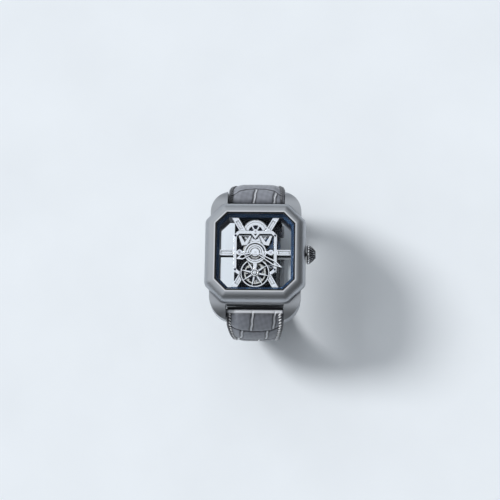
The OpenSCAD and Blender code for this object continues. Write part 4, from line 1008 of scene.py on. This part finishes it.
@dataclass
class StrapHalf:
    """One padded half of the alligator strap, with scales, grooves and edge stitches."""

    name: str
    node: str
    plan: LoopPlan
    bulge: float
    low_r: float
    end_t: float
    side: int
    tail_angle: float = 0.0
    step: float = 0.32
    pad_drop: float = 0.95
    row_length: float = 9.6
    first_row: float = 2.3
    bow: float = 3.2
    slant: float = -0.09
    columns: Sequence[Tuple[float, float, int]] = ((-1.8, 9.4, -9), (4.3, 10.6, -9))
    # scale tone range; the upper half's is lighter, painted light for where light falls stronger
    shades: Pair = (0.48, 0.72)
    # share of the pale groove colour; the lower half's is higher, painted light for the light it lacks
    pale: float = 0.95
    # painted sheen: the leather is lighter towards one edge
    painted_sheen: Mark = Mark(0.3, 3.5, -8.0)
    roll: float = 0.0
    seed: int = 4
    relief: Relief = Relief()
    tones: Tones = Tones()
    holes: Holes = Holes()
    tip: float = 7.0
    tip_power: float = 2.4
    lip_t: float = 0.6
    lip_from: float = 214.0
    lip_span: float = -26.0
    lip_reach: float = 0.95
    lip_gaps: Pair = (0.05, 0.35)
    lip_taper: Pair = (0.12, 0.88)
    lip_steps: Tuple[int, int] = (14, 25)
    thread: Look = Look.THREAD
    stitch_from: float = 2.2
    stitch_pitch: float = 1.6
    stitch_lean: float = 0.8
    stitch_sunk: float = 0.12
    stitch_sizes: Pair = (0.85, 1.12)
    bare_ends: Pair = (5.0, 6.0)

    def route(self) -> Route:
        """Follows this half from the lug to its other end.

        Returns:
            Its side view, evenly sampled, with two rounded ends.
        """
        plan, rows = self.plan, []
        loop = plan.half_loop(self.bulge, self.low_r, self.end_t)
        bar, first = np.array([plan.bar_y, plan.bar_z]), loop[0][2]
        for a in np.linspace(math.pi / 2, 0, 10, endpoint=False):
            out, back = facing(first + a), facing(first + math.pi - a)
            rows.append((bar + plan.lug_t / 2 * out, bar + plan.lug_t / 2 * back, out))
        rows += [self._curved(y, r, a, thick) for y, r, a, thick in loop]
        rows += self._tail(rows[-1][0]) if self.tail_angle else self._buckle_end()
        tables = [np.array(table) for table in zip(*rows)]
        run = np.concatenate([[0], np.cumsum(np.linalg.norm(np.diff(tables[0], axis=0), axis=1))])
        even = np.linspace(0, run[-1], int(run[-1] / self.step))
        tables = [np.column_stack([np.interp(even, run, table[:, k]) for k in (0, 1)]) * (self.side, 1)
                  for table in tables]
        tables[2] /= np.linalg.norm(tables[2], axis=1)[:, None]
        return Route(even, *tables)

    def _curved(self, y: float, radius: float, angle: float, thick: float) -> Tuple[np.ndarray, ...]:
        """Finds one step of a curve whose centre is at the height loop_z.

        Args:
            y: the centre's place in Y.
            radius: radius of the outer face.
            angle: angle of the step in radians.
            thick: the leather's thickness.

        Returns:
            The outer point, the inner point and the outward direction.
        """
        centre, out = np.array([y, self.plan.loop_z]), facing(angle)
        return centre + radius * out, centre + (radius - thick) * out, out

    def _tail(self, start: np.ndarray) -> List[Tuple[np.ndarray, ...]]:
        """Follows the tail, flat from its start and then round the loop.

        Args:
            start: the outer point from which it is flat.

        Returns:
            Its steps.
        """
        y_end = -self.plan.short_y
        rows = [(np.array([y, start[1]]), np.array([y, start[1] + self.end_t]), np.array([0.0, -1.0]))
                for y in np.linspace(start[0], y_end, 60)[1:]]
        angles = np.radians(np.linspace(-90, -90 - self.tail_angle, 120)[1:])
        return rows + [self._curved(y_end, self.low_r, a, self.end_t) for a in angles]

    def _buckle_end(self) -> List[Tuple[np.ndarray, ...]]:
        """Rounds the end at the buckle.

        Returns:
            Its steps.
        """
        centre, r = np.array([self.plan.short_y, self.plan.buckle_z]), self.end_t / 2
        angles = np.linspace(math.pi / 2, math.pi, 11)[1:]
        return [(centre + r * facing(-a), centre + r * facing(a), facing(-a)) for a in angles]

    def half_width(self, route: Route) -> np.ndarray:
        """Measures this half's width, which is drawn in to a round tip at the tail.

        Args:
            route: its side view.

        Returns:
            The half width at each point.
        """
        width = self.plan.width(route.outer[:, 1])
        if not self.tail_angle:
            return width
        left = np.clip((route.run[-1] - route.run) / self.tip, 0, 1)
        return width * np.sqrt(np.clip(1 - (1 - left) ** self.tip_power, 0.0004, 1))

    @staticmethod
    def lanes() -> np.ndarray:
        """Returns the places of the columns across the strap, from -1 to 1, denser at both edges."""
        edge = np.array([0.976, 0.982, 0.988, 0.994, 0.998, 1.0])
        return np.concatenate([-edge[::-1], np.linspace(-0.97, 0.97, 113), edge])

    def pad(self, from_edge: np.ndarray, thick: np.ndarray) -> np.ndarray:
        """Returns how far the padding falls at a distance from the edge, where the leather is so thick."""
        share = np.clip(thick / self.plan.lug_t, 0, 1)
        return self.pad_drop * share ** 2 * (1 - smooth_step(*self.relief.pad, from_edge))

    def row_starts(self, length: float) -> np.ndarray:
        """Lays the rows of scales along the strap, each shorter than the last.

        Args:
            length: the strap's length.

        Returns:
            Where each row starts.
        """
        starts, row = [0.0], self.row_length
        while starts[-1] < length + 12:
            starts.append(starts[-1] + row)
            row = max(self.relief.shortest, row * self.relief.shorter)
        return np.array([-20, *(np.array(starts[1:]) + self.first_row)])

    def scales(self, run: np.ndarray, x: np.ndarray, half: np.ndarray) -> Tuple[Skin, np.ndarray]:
        """Lays the scales out in bowed rows.

        Args:
            run: distance from the lug at each point.
            x: distance from the strap's centre line at each point.
            half: half width at each point.

        Returns:
            The points' distances, and the tone of the scale that each lies on.
        """
        noise, relief = np.random.default_rng(self.seed), self.relief
        across = np.clip(np.abs(x) / np.maximum(half, 4), 0, 1)
        bowed = run + self.bow * across ** relief.bow_power + relief.waver * np.sin(1.7 * x + 0.6 * run)
        starts = self.row_starts(run.max())
        row = np.clip(np.searchsorted(starts, bowed), 0, len(starts) - 1)
        gaps = bowed[..., None] - starts[None, None, :]
        past = np.take_along_axis(gaps, np.argmin(np.abs(gaps), axis=-1)[..., None], axis=-1)[..., 0]
        near, tone = np.full_like(x, relief.far), np.zeros_like(x)
        for k, start in enumerate(starts):
            shift, first = noise.uniform(*relief.shifts), -9
            pitch = noise.uniform(*relief.pitches) * (1 - relief.narrower * k)
            if 1 <= k <= len(self.columns):
                shift, pitch, first = self.columns[k - 1]
            here = row == k
            lean = x - shift - self.slant * (bowed - start) + 0.1 * np.sin(1.3 * bowed + k)
            cell = np.round(lean / pitch)
            near = np.where(here & (cell >= first), np.abs(lean - cell * pitch), near)
            shades = noise.uniform(*self.shades, relief.shade_count)
            tone = np.where(here, shades[np.floor(lean / pitch).astype(int) % relief.shade_count], tone)
        return Skin(run, x, half - np.abs(x), near, past), tone

    def masks(self, skin: Skin) -> Tuple[np.ndarray, ...]:
        """Finds where the leather's parts lie.

        Args:
            skin: the points' distances.

        Returns:
            The shares of the field inside the seams, of the row grooves and of the column grooves.
        """
        relief = self.relief
        inside = smooth_step(*relief.inside, skin.edge)
        return inside, ridge(skin.past, relief.row) * inside, ridge(skin.near, relief.groove) * inside

    def toned(self, skin: Skin, tone: np.ndarray) -> np.ndarray:
        """Paints shade on the scales towards their grooves, the seams and the lug, and painted highlights
        beside the rows.

        Args:
            skin: the points' distances.
            tone: each scale's own tone.

        Returns:
            The tone at each point.
        """
        tones, (inside, rows, _) = self.tones, self.masks(skin)
        mottle = np.sin(2.1 * skin.x + 0.7 * skin.run) * np.sin(1.3 * skin.run - 0.9 * skin.x + 1.2)
        # painted shade beside the column grooves and a painted highlight band beside the rows
        change = tones.groove_side_shade.near(skin.near) + tones.lit.near(self.side * skin.past)
        # painted sheen and random mottling
        change += self.painted_sheen.near(skin.x) + tones.mottle * mottle
        # painted shade at the margin and in the row grooves
        tone = tone + change * inside + tones.margin * (1 - inside) + tones.row * rows
        # painted shade along the seam
        tone += tones.sewn.near(skin.edge)
        # painted highlight on the rolled end, then painted shade below it
        if self.roll:
            below = tone + tones.shade_below_roll.near(skin.run - self.roll)
            tone = np.where(skin.run < self.roll, tones.roll, below)
        return np.clip(tone, 0, 1)

    def paled(self, skin: Skin) -> np.ndarray:
        """Finds where the pale colour of the column grooves shows, and the painted highlight on a rolled end.

        Args:
            skin: the points' distances.

        Returns:
            Its share at each point.
        """
        _, rows, columns = self.masks(skin)
        groove = columns * (1 - rows)
        # painted highlight: the rolled end at the lug takes the pale colour
        if self.roll:
            band = 1 - smooth_step(self.roll - 0.3, self.roll + 0.3, skin.run)
            groove = np.maximum(groove, band * smooth_step(0.3, 0.9, skin.edge))
        return self.pale * groove

    def sunk(self, skin: Skin, thick: np.ndarray) -> Tuple[np.ndarray, np.ndarray]:
        """Finds the relief of both faces.

        Args:
            skin: the points' distances.
            thick: the leather's thickness at each point.

        Returns:
            How far the outer and the inner face sink.
        """
        relief, (inside, rows, columns) = self.relief, self.masks(skin)
        columns = columns if self.roll else columns * (1 - rows)
        pillow = np.exp(-np.minimum(skin.near, np.abs(skin.past)) / relief.pillow) * inside
        r = np.minimum(relief.edge_r, thick * relief.thin_edge)
        fall = r - np.sqrt(np.maximum(r ** 2 - (r - skin.edge) ** 2, 0))
        rounded = np.where(skin.edge < r, fall, 0)
        deep = self.pad(skin.edge, thick) + relief.groove_depth * np.maximum(columns, rows)
        deep += relief.pillow_depth * pillow + relief.seam.near(skin.edge)
        outer = np.minimum(deep + rounded, thick * relief.deepest)
        return outer, np.minimum(rounded, thick * relief.deepest_inside)

    def shell(self, lines: int, columns: int) -> Tuple[Faces, List[int]]:
        """Joins the grids of the outer and the inner face.

        Args:
            lines: rows of points along the strap.
            columns: points across it.

        Returns:
            The faces and their places among the materials: 0 outside, 1 lining, 2 edge.
        """
        count = lines * columns
        top = turned(grid_faces(lines, columns), self.side > 0)
        bottom = [tuple(count + v for v in face[::-1]) for face in top]
        edges = [(i * columns + j, columns, j == 0) for i in range(lines - 1) for j in (0, columns - 1)]
        edges += [(i * columns + j, 1, i > 0) for i in (0, lines - 1) for j in range(columns - 1)]
        rim = []
        for a, stride, forward in edges:
            face = (a, a + stride, count + a + stride, count + a)
            rim += turned([face], forward != (self.side < 0))
        return top + bottom + rim, [0] * len(top) + [1] * len(bottom) + [2] * len(rim)

    def build(self, wardrobe: Wardrobe) -> None:
        """Builds this half with its grooves, lip and stitches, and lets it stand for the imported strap.

        Args:
            wardrobe: where the materials come from.
        """
        route, lanes = self.route(), self.lanes()
        half = self.half_width(route)
        x = half[:, None] * lanes[None, :]
        run, width = (np.repeat(line[:, None], len(lanes), axis=1) for line in (route.run, half))
        skin, tone = self.scales(run, x, width)
        sunk = self.sunk(skin, route.thick()[:, None])
        lift = smooth_step(0.0, self.relief.end, np.minimum(route.run, route.run[-1] - route.run))
        points = []
        for line, way, deep in zip((route.outer, route.inner), (-1, 1), sunk):
            shift = way * route.normal[:, None, :] * (deep * lift[:, None])[..., None]
            points.append(np.dstack([x, line[:, None, :] + shift]).reshape(-1, 3))
        faces, places = self.shell(*x.shape)
        materials = [wardrobe.get(look) for look in (Look.HIDE, Look.LINING, Look.EDGE)]
        piece = make_mesh(self.name, np.vstack(points), faces, materials, places)
        for value, outer, lining in (("groove", self.paled(skin), 0.0),
                                     ("tone", self.toned(skin, tone), self.tones.lining)):
            give_values(piece, value, np.concatenate([outer.ravel(), np.full(x.size, lining)]))
        self.punch(piece, route)
        self.lip(wardrobe)
        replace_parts(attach(piece, "root"), self.node)
        self.stitch(route, half, wardrobe)
        LOG.info("built %s, %d faces", self.name, len(piece.data.polygons))

    def lip(self, wardrobe: Wardrobe) -> None:
        """Builds the leather lip that closes the gap between the strap's end and the case.

        Args:
            wardrobe: where its material comes from.
        """
        plan, (off_end, off_lugs), (count, lines) = self.plan, self.lip_gaps, self.lip_steps
        half, (taper_from, taper_to), section = plan.lug_gap / 2 - off_lugs, self.lip_taper, []
        shares = np.linspace(0, 1, count)
        for thick, line in ((self.lip_t / 2, shares), (-self.lip_t / 2, shares[::-1])):
            for t in line:
                taper = thick * math.sin(math.pi * (taper_from + (taper_to - taper_from) * t))
                r = plan.lug_t / 2 + off_end + self.lip_reach * t + taper
                y, z = r * facing(math.radians(self.lip_from + self.lip_span * t))
                section.append((plan.bar_y + y, plan.bar_z + z))
        points = [(x, self.side * y, z) for x in np.linspace(-half, half, lines) for y, z in section]
        faces = turned(tube_faces(lines, len(section)), self.side > 0)
        piece = make_mesh(self.name + "_lip", np.array(points), faces, [wardrobe.get(Look.EDGE)])
        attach(piece, "root")

    def punch(self, piece: bpy.types.Object, route: Route) -> None:
        """Cuts the tongue's slot, and on the long half the row of spare holes.

        Args:
            piece: this half.
            route: its side view.
        """
        plan, holes = self.plan, self.holes
        if self.tail_angle:
            slot_y = plan.short_y - holes.slot_in
            solids = [self._cutter((0, slot_y, holes.slot_z), holes.slot)]
            off_slot = np.hypot(route.outer[:, 0] - slot_y, route.outer[:, 1])
            for shift in holes.spare_runs:
                at = int(np.searchsorted(route.run, route.run[int(np.argmin(off_slot))] + shift))
                y, z = (route.outer[at] + route.inner[at]) / 2
                tilt = math.atan2(route.normal[at][0], -route.normal[at][1])
                solids.append(self._cutter((0, y, z), holes.spare, tilt, holes.spare_sides))
        else:
            solids = [self._cutter((0, plan.short_y - holes.end_in, plan.buckle_z), holes.end_slot)]
        for number, (points, faces) in enumerate(solids):
            cutter = make_mesh(f"cutter_{number}", points, faces, [], smooth=False)
            cut = piece.modifiers.new("hole", "BOOLEAN")
            cut.object, cut.operation, cut.solver = cutter, "DIFFERENCE", "EXACT"
            with bpy.context.temp_override(object=piece, active_object=piece):
                bpy.ops.object.modifier_apply(modifier=cut.name)
            bpy.data.objects.remove(cutter)

    @staticmethod
    def _cutter(centre: Point, size: Point, tilt: float = 0.0, sides: int = 4) -> Tuple[np.ndarray, Faces]:
        """Makes a box or a round bar.

        Args:
            centre: its middle.
            size: its size in X, Y and Z.
            tilt: its turn about X in radians.
            sides: 4 for a box, more for a round bar.

        Returns:
            Its points and faces.
        """
        turn, reach = (math.pi / 4, math.sqrt(2) / 2) if sides == 4 else (0.0, 0.5)
        points = []
        for end in (-0.5, 0.5):
            for i in range(sides):
                x, y = reach * np.array(size[:2]) * facing(2 * math.pi * i / sides + turn)
                z = end * size[2]
                points.append(np.array(centre) + (x, y * math.cos(tilt) - z * math.sin(tilt),
                                                  y * math.sin(tilt) + z * math.cos(tilt)))
        caps = [tuple(range(sides))[::-1], tuple(range(sides, 2 * sides))]
        return np.array(points), caps + grid_faces(2, sides, wrap_columns=True)

    def stitch(self, route: Route, half: np.ndarray, wardrobe: Wardrobe) -> None:
        """Sews slanted stitches along both edges.

        Args:
            route: this half's side view.
            half: its half width at each point of the route.
            wardrobe: where the thread comes from.
        """
        seam, seam_at, thick = Seam(), self.relief.seam.at, route.thick()
        last = route.run[-1] - self.bare_ends[bool(self.tail_angle)]
        for place in np.arange(self.stitch_from, last, self.stitch_pitch):
            k = int(np.searchsorted(route.run, place))
            along = np.array([0.0, *(route.outer[k + 1] - route.outer[k - 1])])
            along /= np.linalg.norm(along)
            up = np.array([0.0, *route.normal[k]])
            sunk = self.stitch_sunk + self.pad(seam_at, thick[k])
            for hand, size in zip((-1, 1), self.stitch_sizes):
                centre = np.array([hand * (half[k] - seam_at), *route.outer[k]]) - up * sunk
                c, s = facing(self.stitch_lean)
                seam.sew(centre, along * c + np.array([-hand, 0, 0]) * s, up, size)
        seam.build(self.name + "_stitches", "root", wardrobe.get(self.thread))


@dataclass
class Keeper:
    """A leather loop that holds the tail on the short half."""

    name: str
    node: str
    body: str
    plan: LoopPlan
    start: float
    travel: float
    span: float = 10.0
    gap: float = 0.25
    above: float = 4.0
    leather: float = 1.2
    inset: Pair = (0.1, 0.06)
    corner: float = 0.6
    spacing: float = 0.8
    seam_in: float = 0.95
    seam: Pair = (0.2, 0.12)
    tone: float = 0.35
    stitch_size: float = 0.66
    stitch_pitch: float = 1.5
    stitch_sunk: float = 0.1
    stitch_ends: Pair = (1.2, 1.0)

    def build(self, wardrobe: Wardrobe) -> None:
        """Builds the loop as a rounded band round a rounded rectangle.

        Args:
            wardrobe: where the materials come from.
        """
        plan, top = self.plan, self.start + self.span + self.travel
        share = plan.upper_share + (1 - plan.upper_share) * (90 - top) / 90
        r_in = plan.short_r - plan.lug_t - (plan.short_t - plan.lug_t) * share - self.gap
        r_out = plan.long_r + self.gap
        half = plan.width(plan.loop_z - plan.short_r * math.cos(math.radians(top)) + self.above) + self.gap
        middle, mean_r = math.radians(self.start + self.span / 2 - 90), (r_out + r_in) / 2
        width = math.radians(self.span) * mean_r
        path, points = self._path(r_in, r_out, half), []
        band = self._band(width - self.inset[0], self.leather - self.inset[1])
        for r, x, nr, nx in path:
            for along, out in band:
                y, z = (r + nr * out) * facing(middle + along / mean_r)
                points.append((x + nx * out, plan.short_y + y, plan.loop_z + z))
        faces = grid_faces(len(path), len(band), wrap_rows=True, wrap_columns=True)
        piece = make_mesh(self.name, np.array(points), faces, [wardrobe.get(Look.HIDE)])
        give_values(piece, "groove", np.zeros(len(points)))
        give_values(piece, "tone", np.full(len(points), self.tone))
        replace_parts(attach(piece, self.body), self.node)
        self.stitch(wardrobe, r_out + self.leather - self.stitch_sunk, half, (middle, width))
        LOG.info("built %s, %d faces", self.name, len(faces))

    def stitch(self, wardrobe: Wardrobe, radius: float, half: float, band: Pair) -> None:
        """Sews a row of small stitches along both edges of the loop's outer face.

        Args:
            wardrobe: where the thread comes from.
            radius: radius of the loop's outer face.
            half: half width of the loop's inner space.
            band: angle of the band's middle, and its width.
        """
        seam = Seam()
        for edge in (-1, 1):
            up = np.array([0.0, *facing(band[0] + edge * (band[1] / 2 - self.seam_in) / radius)])
            for x in np.arange(self.stitch_ends[0] - half, half - self.stitch_ends[1], self.stitch_pitch):
                centre = np.array([x, self.plan.short_y, self.plan.loop_z]) + radius * up
                seam.sew(centre, np.array([1.0, 0.0, 0.0]), up, self.stitch_size)
        seam.build(self.name + "_stitches", self.body, wardrobe.get(Look.THREAD))

    def _path(self, r_in: float, r_out: float, half: float) -> List[np.ndarray]:
        """Goes round the inside of the loop.

        Args:
            r_in: radius of its inner side.
            r_out: radius of its outer side.
            half: half its width.

        Returns:
            The radius, X and outward direction of each point.
        """
        c, rows, path = self.corner, [], []
        for k, (cr, cx) in enumerate(((r_out - c, half - c), (r_in + c, half - c),
                                      (r_in + c, c - half), (r_out - c, c - half))):
            for a in np.radians(90 * k + np.linspace(0, 90, 9)):
                rows.append(np.array([cr, cx, 0, 0]) + np.concatenate([c * facing(a), facing(a)]))
        for here, there in zip(rows, rows[1:] + rows[:1]):
            steps = max(1, int(math.dist(here[:2], there[:2]) / self.spacing))
            path += [here + (there - here) * i / steps for i in range(steps)]
        return path

    def _band(self, width: float, thick: float) -> List[Pair]:
        """Draws the band's section, a flat strip with round edges and a seam line near each edge.

        Args:
            width: its width.
            thick: its thickness.

        Returns:
            Its points, along the strap and out of it.
        """
        edge, rows = thick * 0.45, []
        for k, (cx, cy) in enumerate(((width / 2 - edge, thick - edge), (edge - width / 2, thick - edge),
                                      (edge - width / 2, edge), (width / 2 - edge, edge))):
            for c, s in map(facing, np.radians(90 * k + np.linspace(0, 90, 6))):
                rows.append((cx + edge * c, cy + edge * s))
            if k == 0:
                for at in (width / 2 - self.seam_in, self.seam_in - width / 2):
                    wide, deep = self.seam
                    rows += [(at + wide, thick), (at, thick - deep), (at - wide, thick)]
        return rows


# Studio

@dataclass
class Studio:
    """The pale floor, the lamp, the sky and the camera at the photograph's angle."""

    tilt: float = 13.0
    turn: float = 2.51
    roll: float = 0.978
    distance: float = 750.0
    lens: float = 129.96
    sensor: float = 36.0
    clip: Pair = (0.01, 50.0)
    target: Point = (-2.153, 1.025, 52.0)
    floor_half: float = 9000.0
    floor_z: float = -0.1
    floor_colour: Colour = (0.84, 0.88, 0.92)
    key_power: float = 2.1
    key_spread: float = 18.0
    key_from: Point = (-0.70, 0.26, 0.66)
    sky_low: float = 0.15
    sky_high: float = 1.05
    sky_span: Pair = (0.35, 0.9)
    sky_from: Point = (-0.56, 0.40, 0.73)
    air_colour: Colour = (0.93, 0.965, 1.0)
    backdrop: Colour = (0.77, 0.82, 0.87)

    def place_camera(self) -> None:
        """Places the camera."""
        tilt, turn, roll = (math.radians(v) for v in (self.tilt, self.turn, self.roll))
        (turn_c, turn_s), (roll_c, roll_s) = facing(turn), facing(roll)
        back = Vector((turn_s, -math.sin(tilt) * turn_c, math.cos(tilt) * turn_c)).normalized()
        right = Vector((0, 1, 0)).cross(back).normalized()
        up = back.cross(right)
        side, top = roll_c * right + roll_s * up, roll_c * up - roll_s * right
        data = bpy.data.cameras.new("camera")
        data.lens, data.sensor_width = self.lens, self.sensor
        data.clip_start, data.clip_end = self.clip
        camera = bpy.data.objects.new("camera", data)
        place = Vector(self.target) * MM + back * self.distance * MM
        camera.matrix_world = ((*side, 0), (*top, 0), (*back, 0), (*place, 1))
        bpy.context.scene.collection.objects.link(camera)
        bpy.context.scene.camera = camera

    def lay_floor(self) -> None:
        """Lays the plain pale floor just under the watch."""
        corners = ((-1, -1), (1, -1), (1, 1), (-1, 1))
        points = np.array([(x * self.floor_half, y * self.floor_half, self.floor_z) for x, y in corners])
        material, nodes, shader = new_material("floor_paper")
        noise = nodes.add("ShaderNodeTexNoise", {"Vector": nodes.place(), "Scale": 22, "Detail": 3})
        paper = nodes.mix(noise.outputs[0], shaded(self.floor_colour, 0.95), shaded(self.floor_colour, 1.05))
        nodes.fill(shader, {"Base Color": paper, "Roughness": 0.8, "Specular IOR Level": 0.1})
        make_mesh("floor", points, [(0, 1, 2, 3)], [material], smooth=False)

    def hang_lamp(self) -> None:
        """Hangs one broad, distant lamp at the upper left. Metal mirrors it only as the sky's bright side."""
        data = bpy.data.lights.new("key", "SUN")
        data.energy, data.angle = self.key_power, math.radians(self.key_spread)
        lamp = bpy.data.objects.new("key", data)
        lamp.visible_glossy = False
        lamp.rotation_euler = (-Vector(self.key_from)).to_track_quat("-Z", "Y").to_euler()
        bpy.context.scene.collection.objects.link(lamp)

    def paint_sky(self) -> None:
        """Paints a sky that is brightest overhead and towards the upper left, and pale for the camera."""
        world = bpy.data.worlds.new("sky")
        bpy.context.scene.world = world
        world.use_nodes = True
        nodes = Nodes(world.node_tree)
        world.node_tree.nodes.clear()
        at = nodes.add("ShaderNodeTexCoord").outputs["Generated"]
        toward = nodes.add("ShaderNodeVectorMath", {0: at, 1: self.sky_from}, operation="DOT_PRODUCT")
        ramp = nodes.add("ShaderNodeMapRange", {
            "Value": toward.outputs["Value"], "From Min": self.sky_span[0], "From Max": self.sky_span[1],
            "To Min": self.sky_low, "To Max": self.sky_high}, interpolation_type="SMOOTHSTEP")
        light, seen = (nodes.add("ShaderNodeBackground", {"Color": (*colour, 1), "Strength": strength})
                       for colour, strength in ((self.air_colour, ramp.outputs[0]), (self.backdrop, 1.0)))
        direct = nodes.add("ShaderNodeLightPath").outputs["Is Camera Ray"]
        mixed = nodes.add("ShaderNodeMixShader", {0: direct, 1: light.outputs[0], 2: seen.outputs[0]})
        nodes.add("ShaderNodeOutputWorld", {0: mixed.outputs[0]})

    def build(self) -> None:
        """Builds the camera, floor, lamp and sky."""
        self.place_camera()
        self.lay_floor()
        self.hang_lamp()
        self.paint_sky()
        bpy.context.scene.view_settings.view_transform = "Standard"
        LOG.info("studio ready")


def main() -> None:
    """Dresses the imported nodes, builds the bezel, the strap and the studio."""
    logging.basicConfig(level=logging.INFO, format="%(message)s")
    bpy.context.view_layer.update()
    wardrobe, trimmer, plan = Wardrobe(Effects()), Trimmer(), LoopPlan()
    Studio().build()
    PackedPieces().dress(frame["nodes"], wardrobe, trimmer)
    Bezel().build(wardrobe, trimmer)
    # painted light: the upper half's scales are lighter and the lower half's grooves paler, as light falls
    # the upper half's darker thread is painted shade on its stitches
    StrapHalf("strap_upper", "strap_short", plan, 34.4, plan.short_r, plan.short_t, 1, bow=6.0,
              columns=((-0.3, 8.3, 0), (3.6, 9.0, 2)), seed=7, first_row=-0.4, slant=0.1,
              shades=(0.6, 0.84), pale=0.62, painted_sheen=Mark(0.0, 1.0), thread=Look.TWINE).build(wardrobe)
    StrapHalf("strap_lower", "strap_long", plan, 33.0, plan.long_r, plan.long_t, -1,
              tail_angle=60.0, roll=1.5).build(wardrobe)
    Keeper("keeper_sewn", "fixed_keeper", "root", plan, 20.0, 0.0).build(wardrobe)
    Keeper("keeper_loose", "free_keeper", "keeper", plan, 38.0, 5.0).build(wardrobe)


if __name__ == "__main__":
    main()
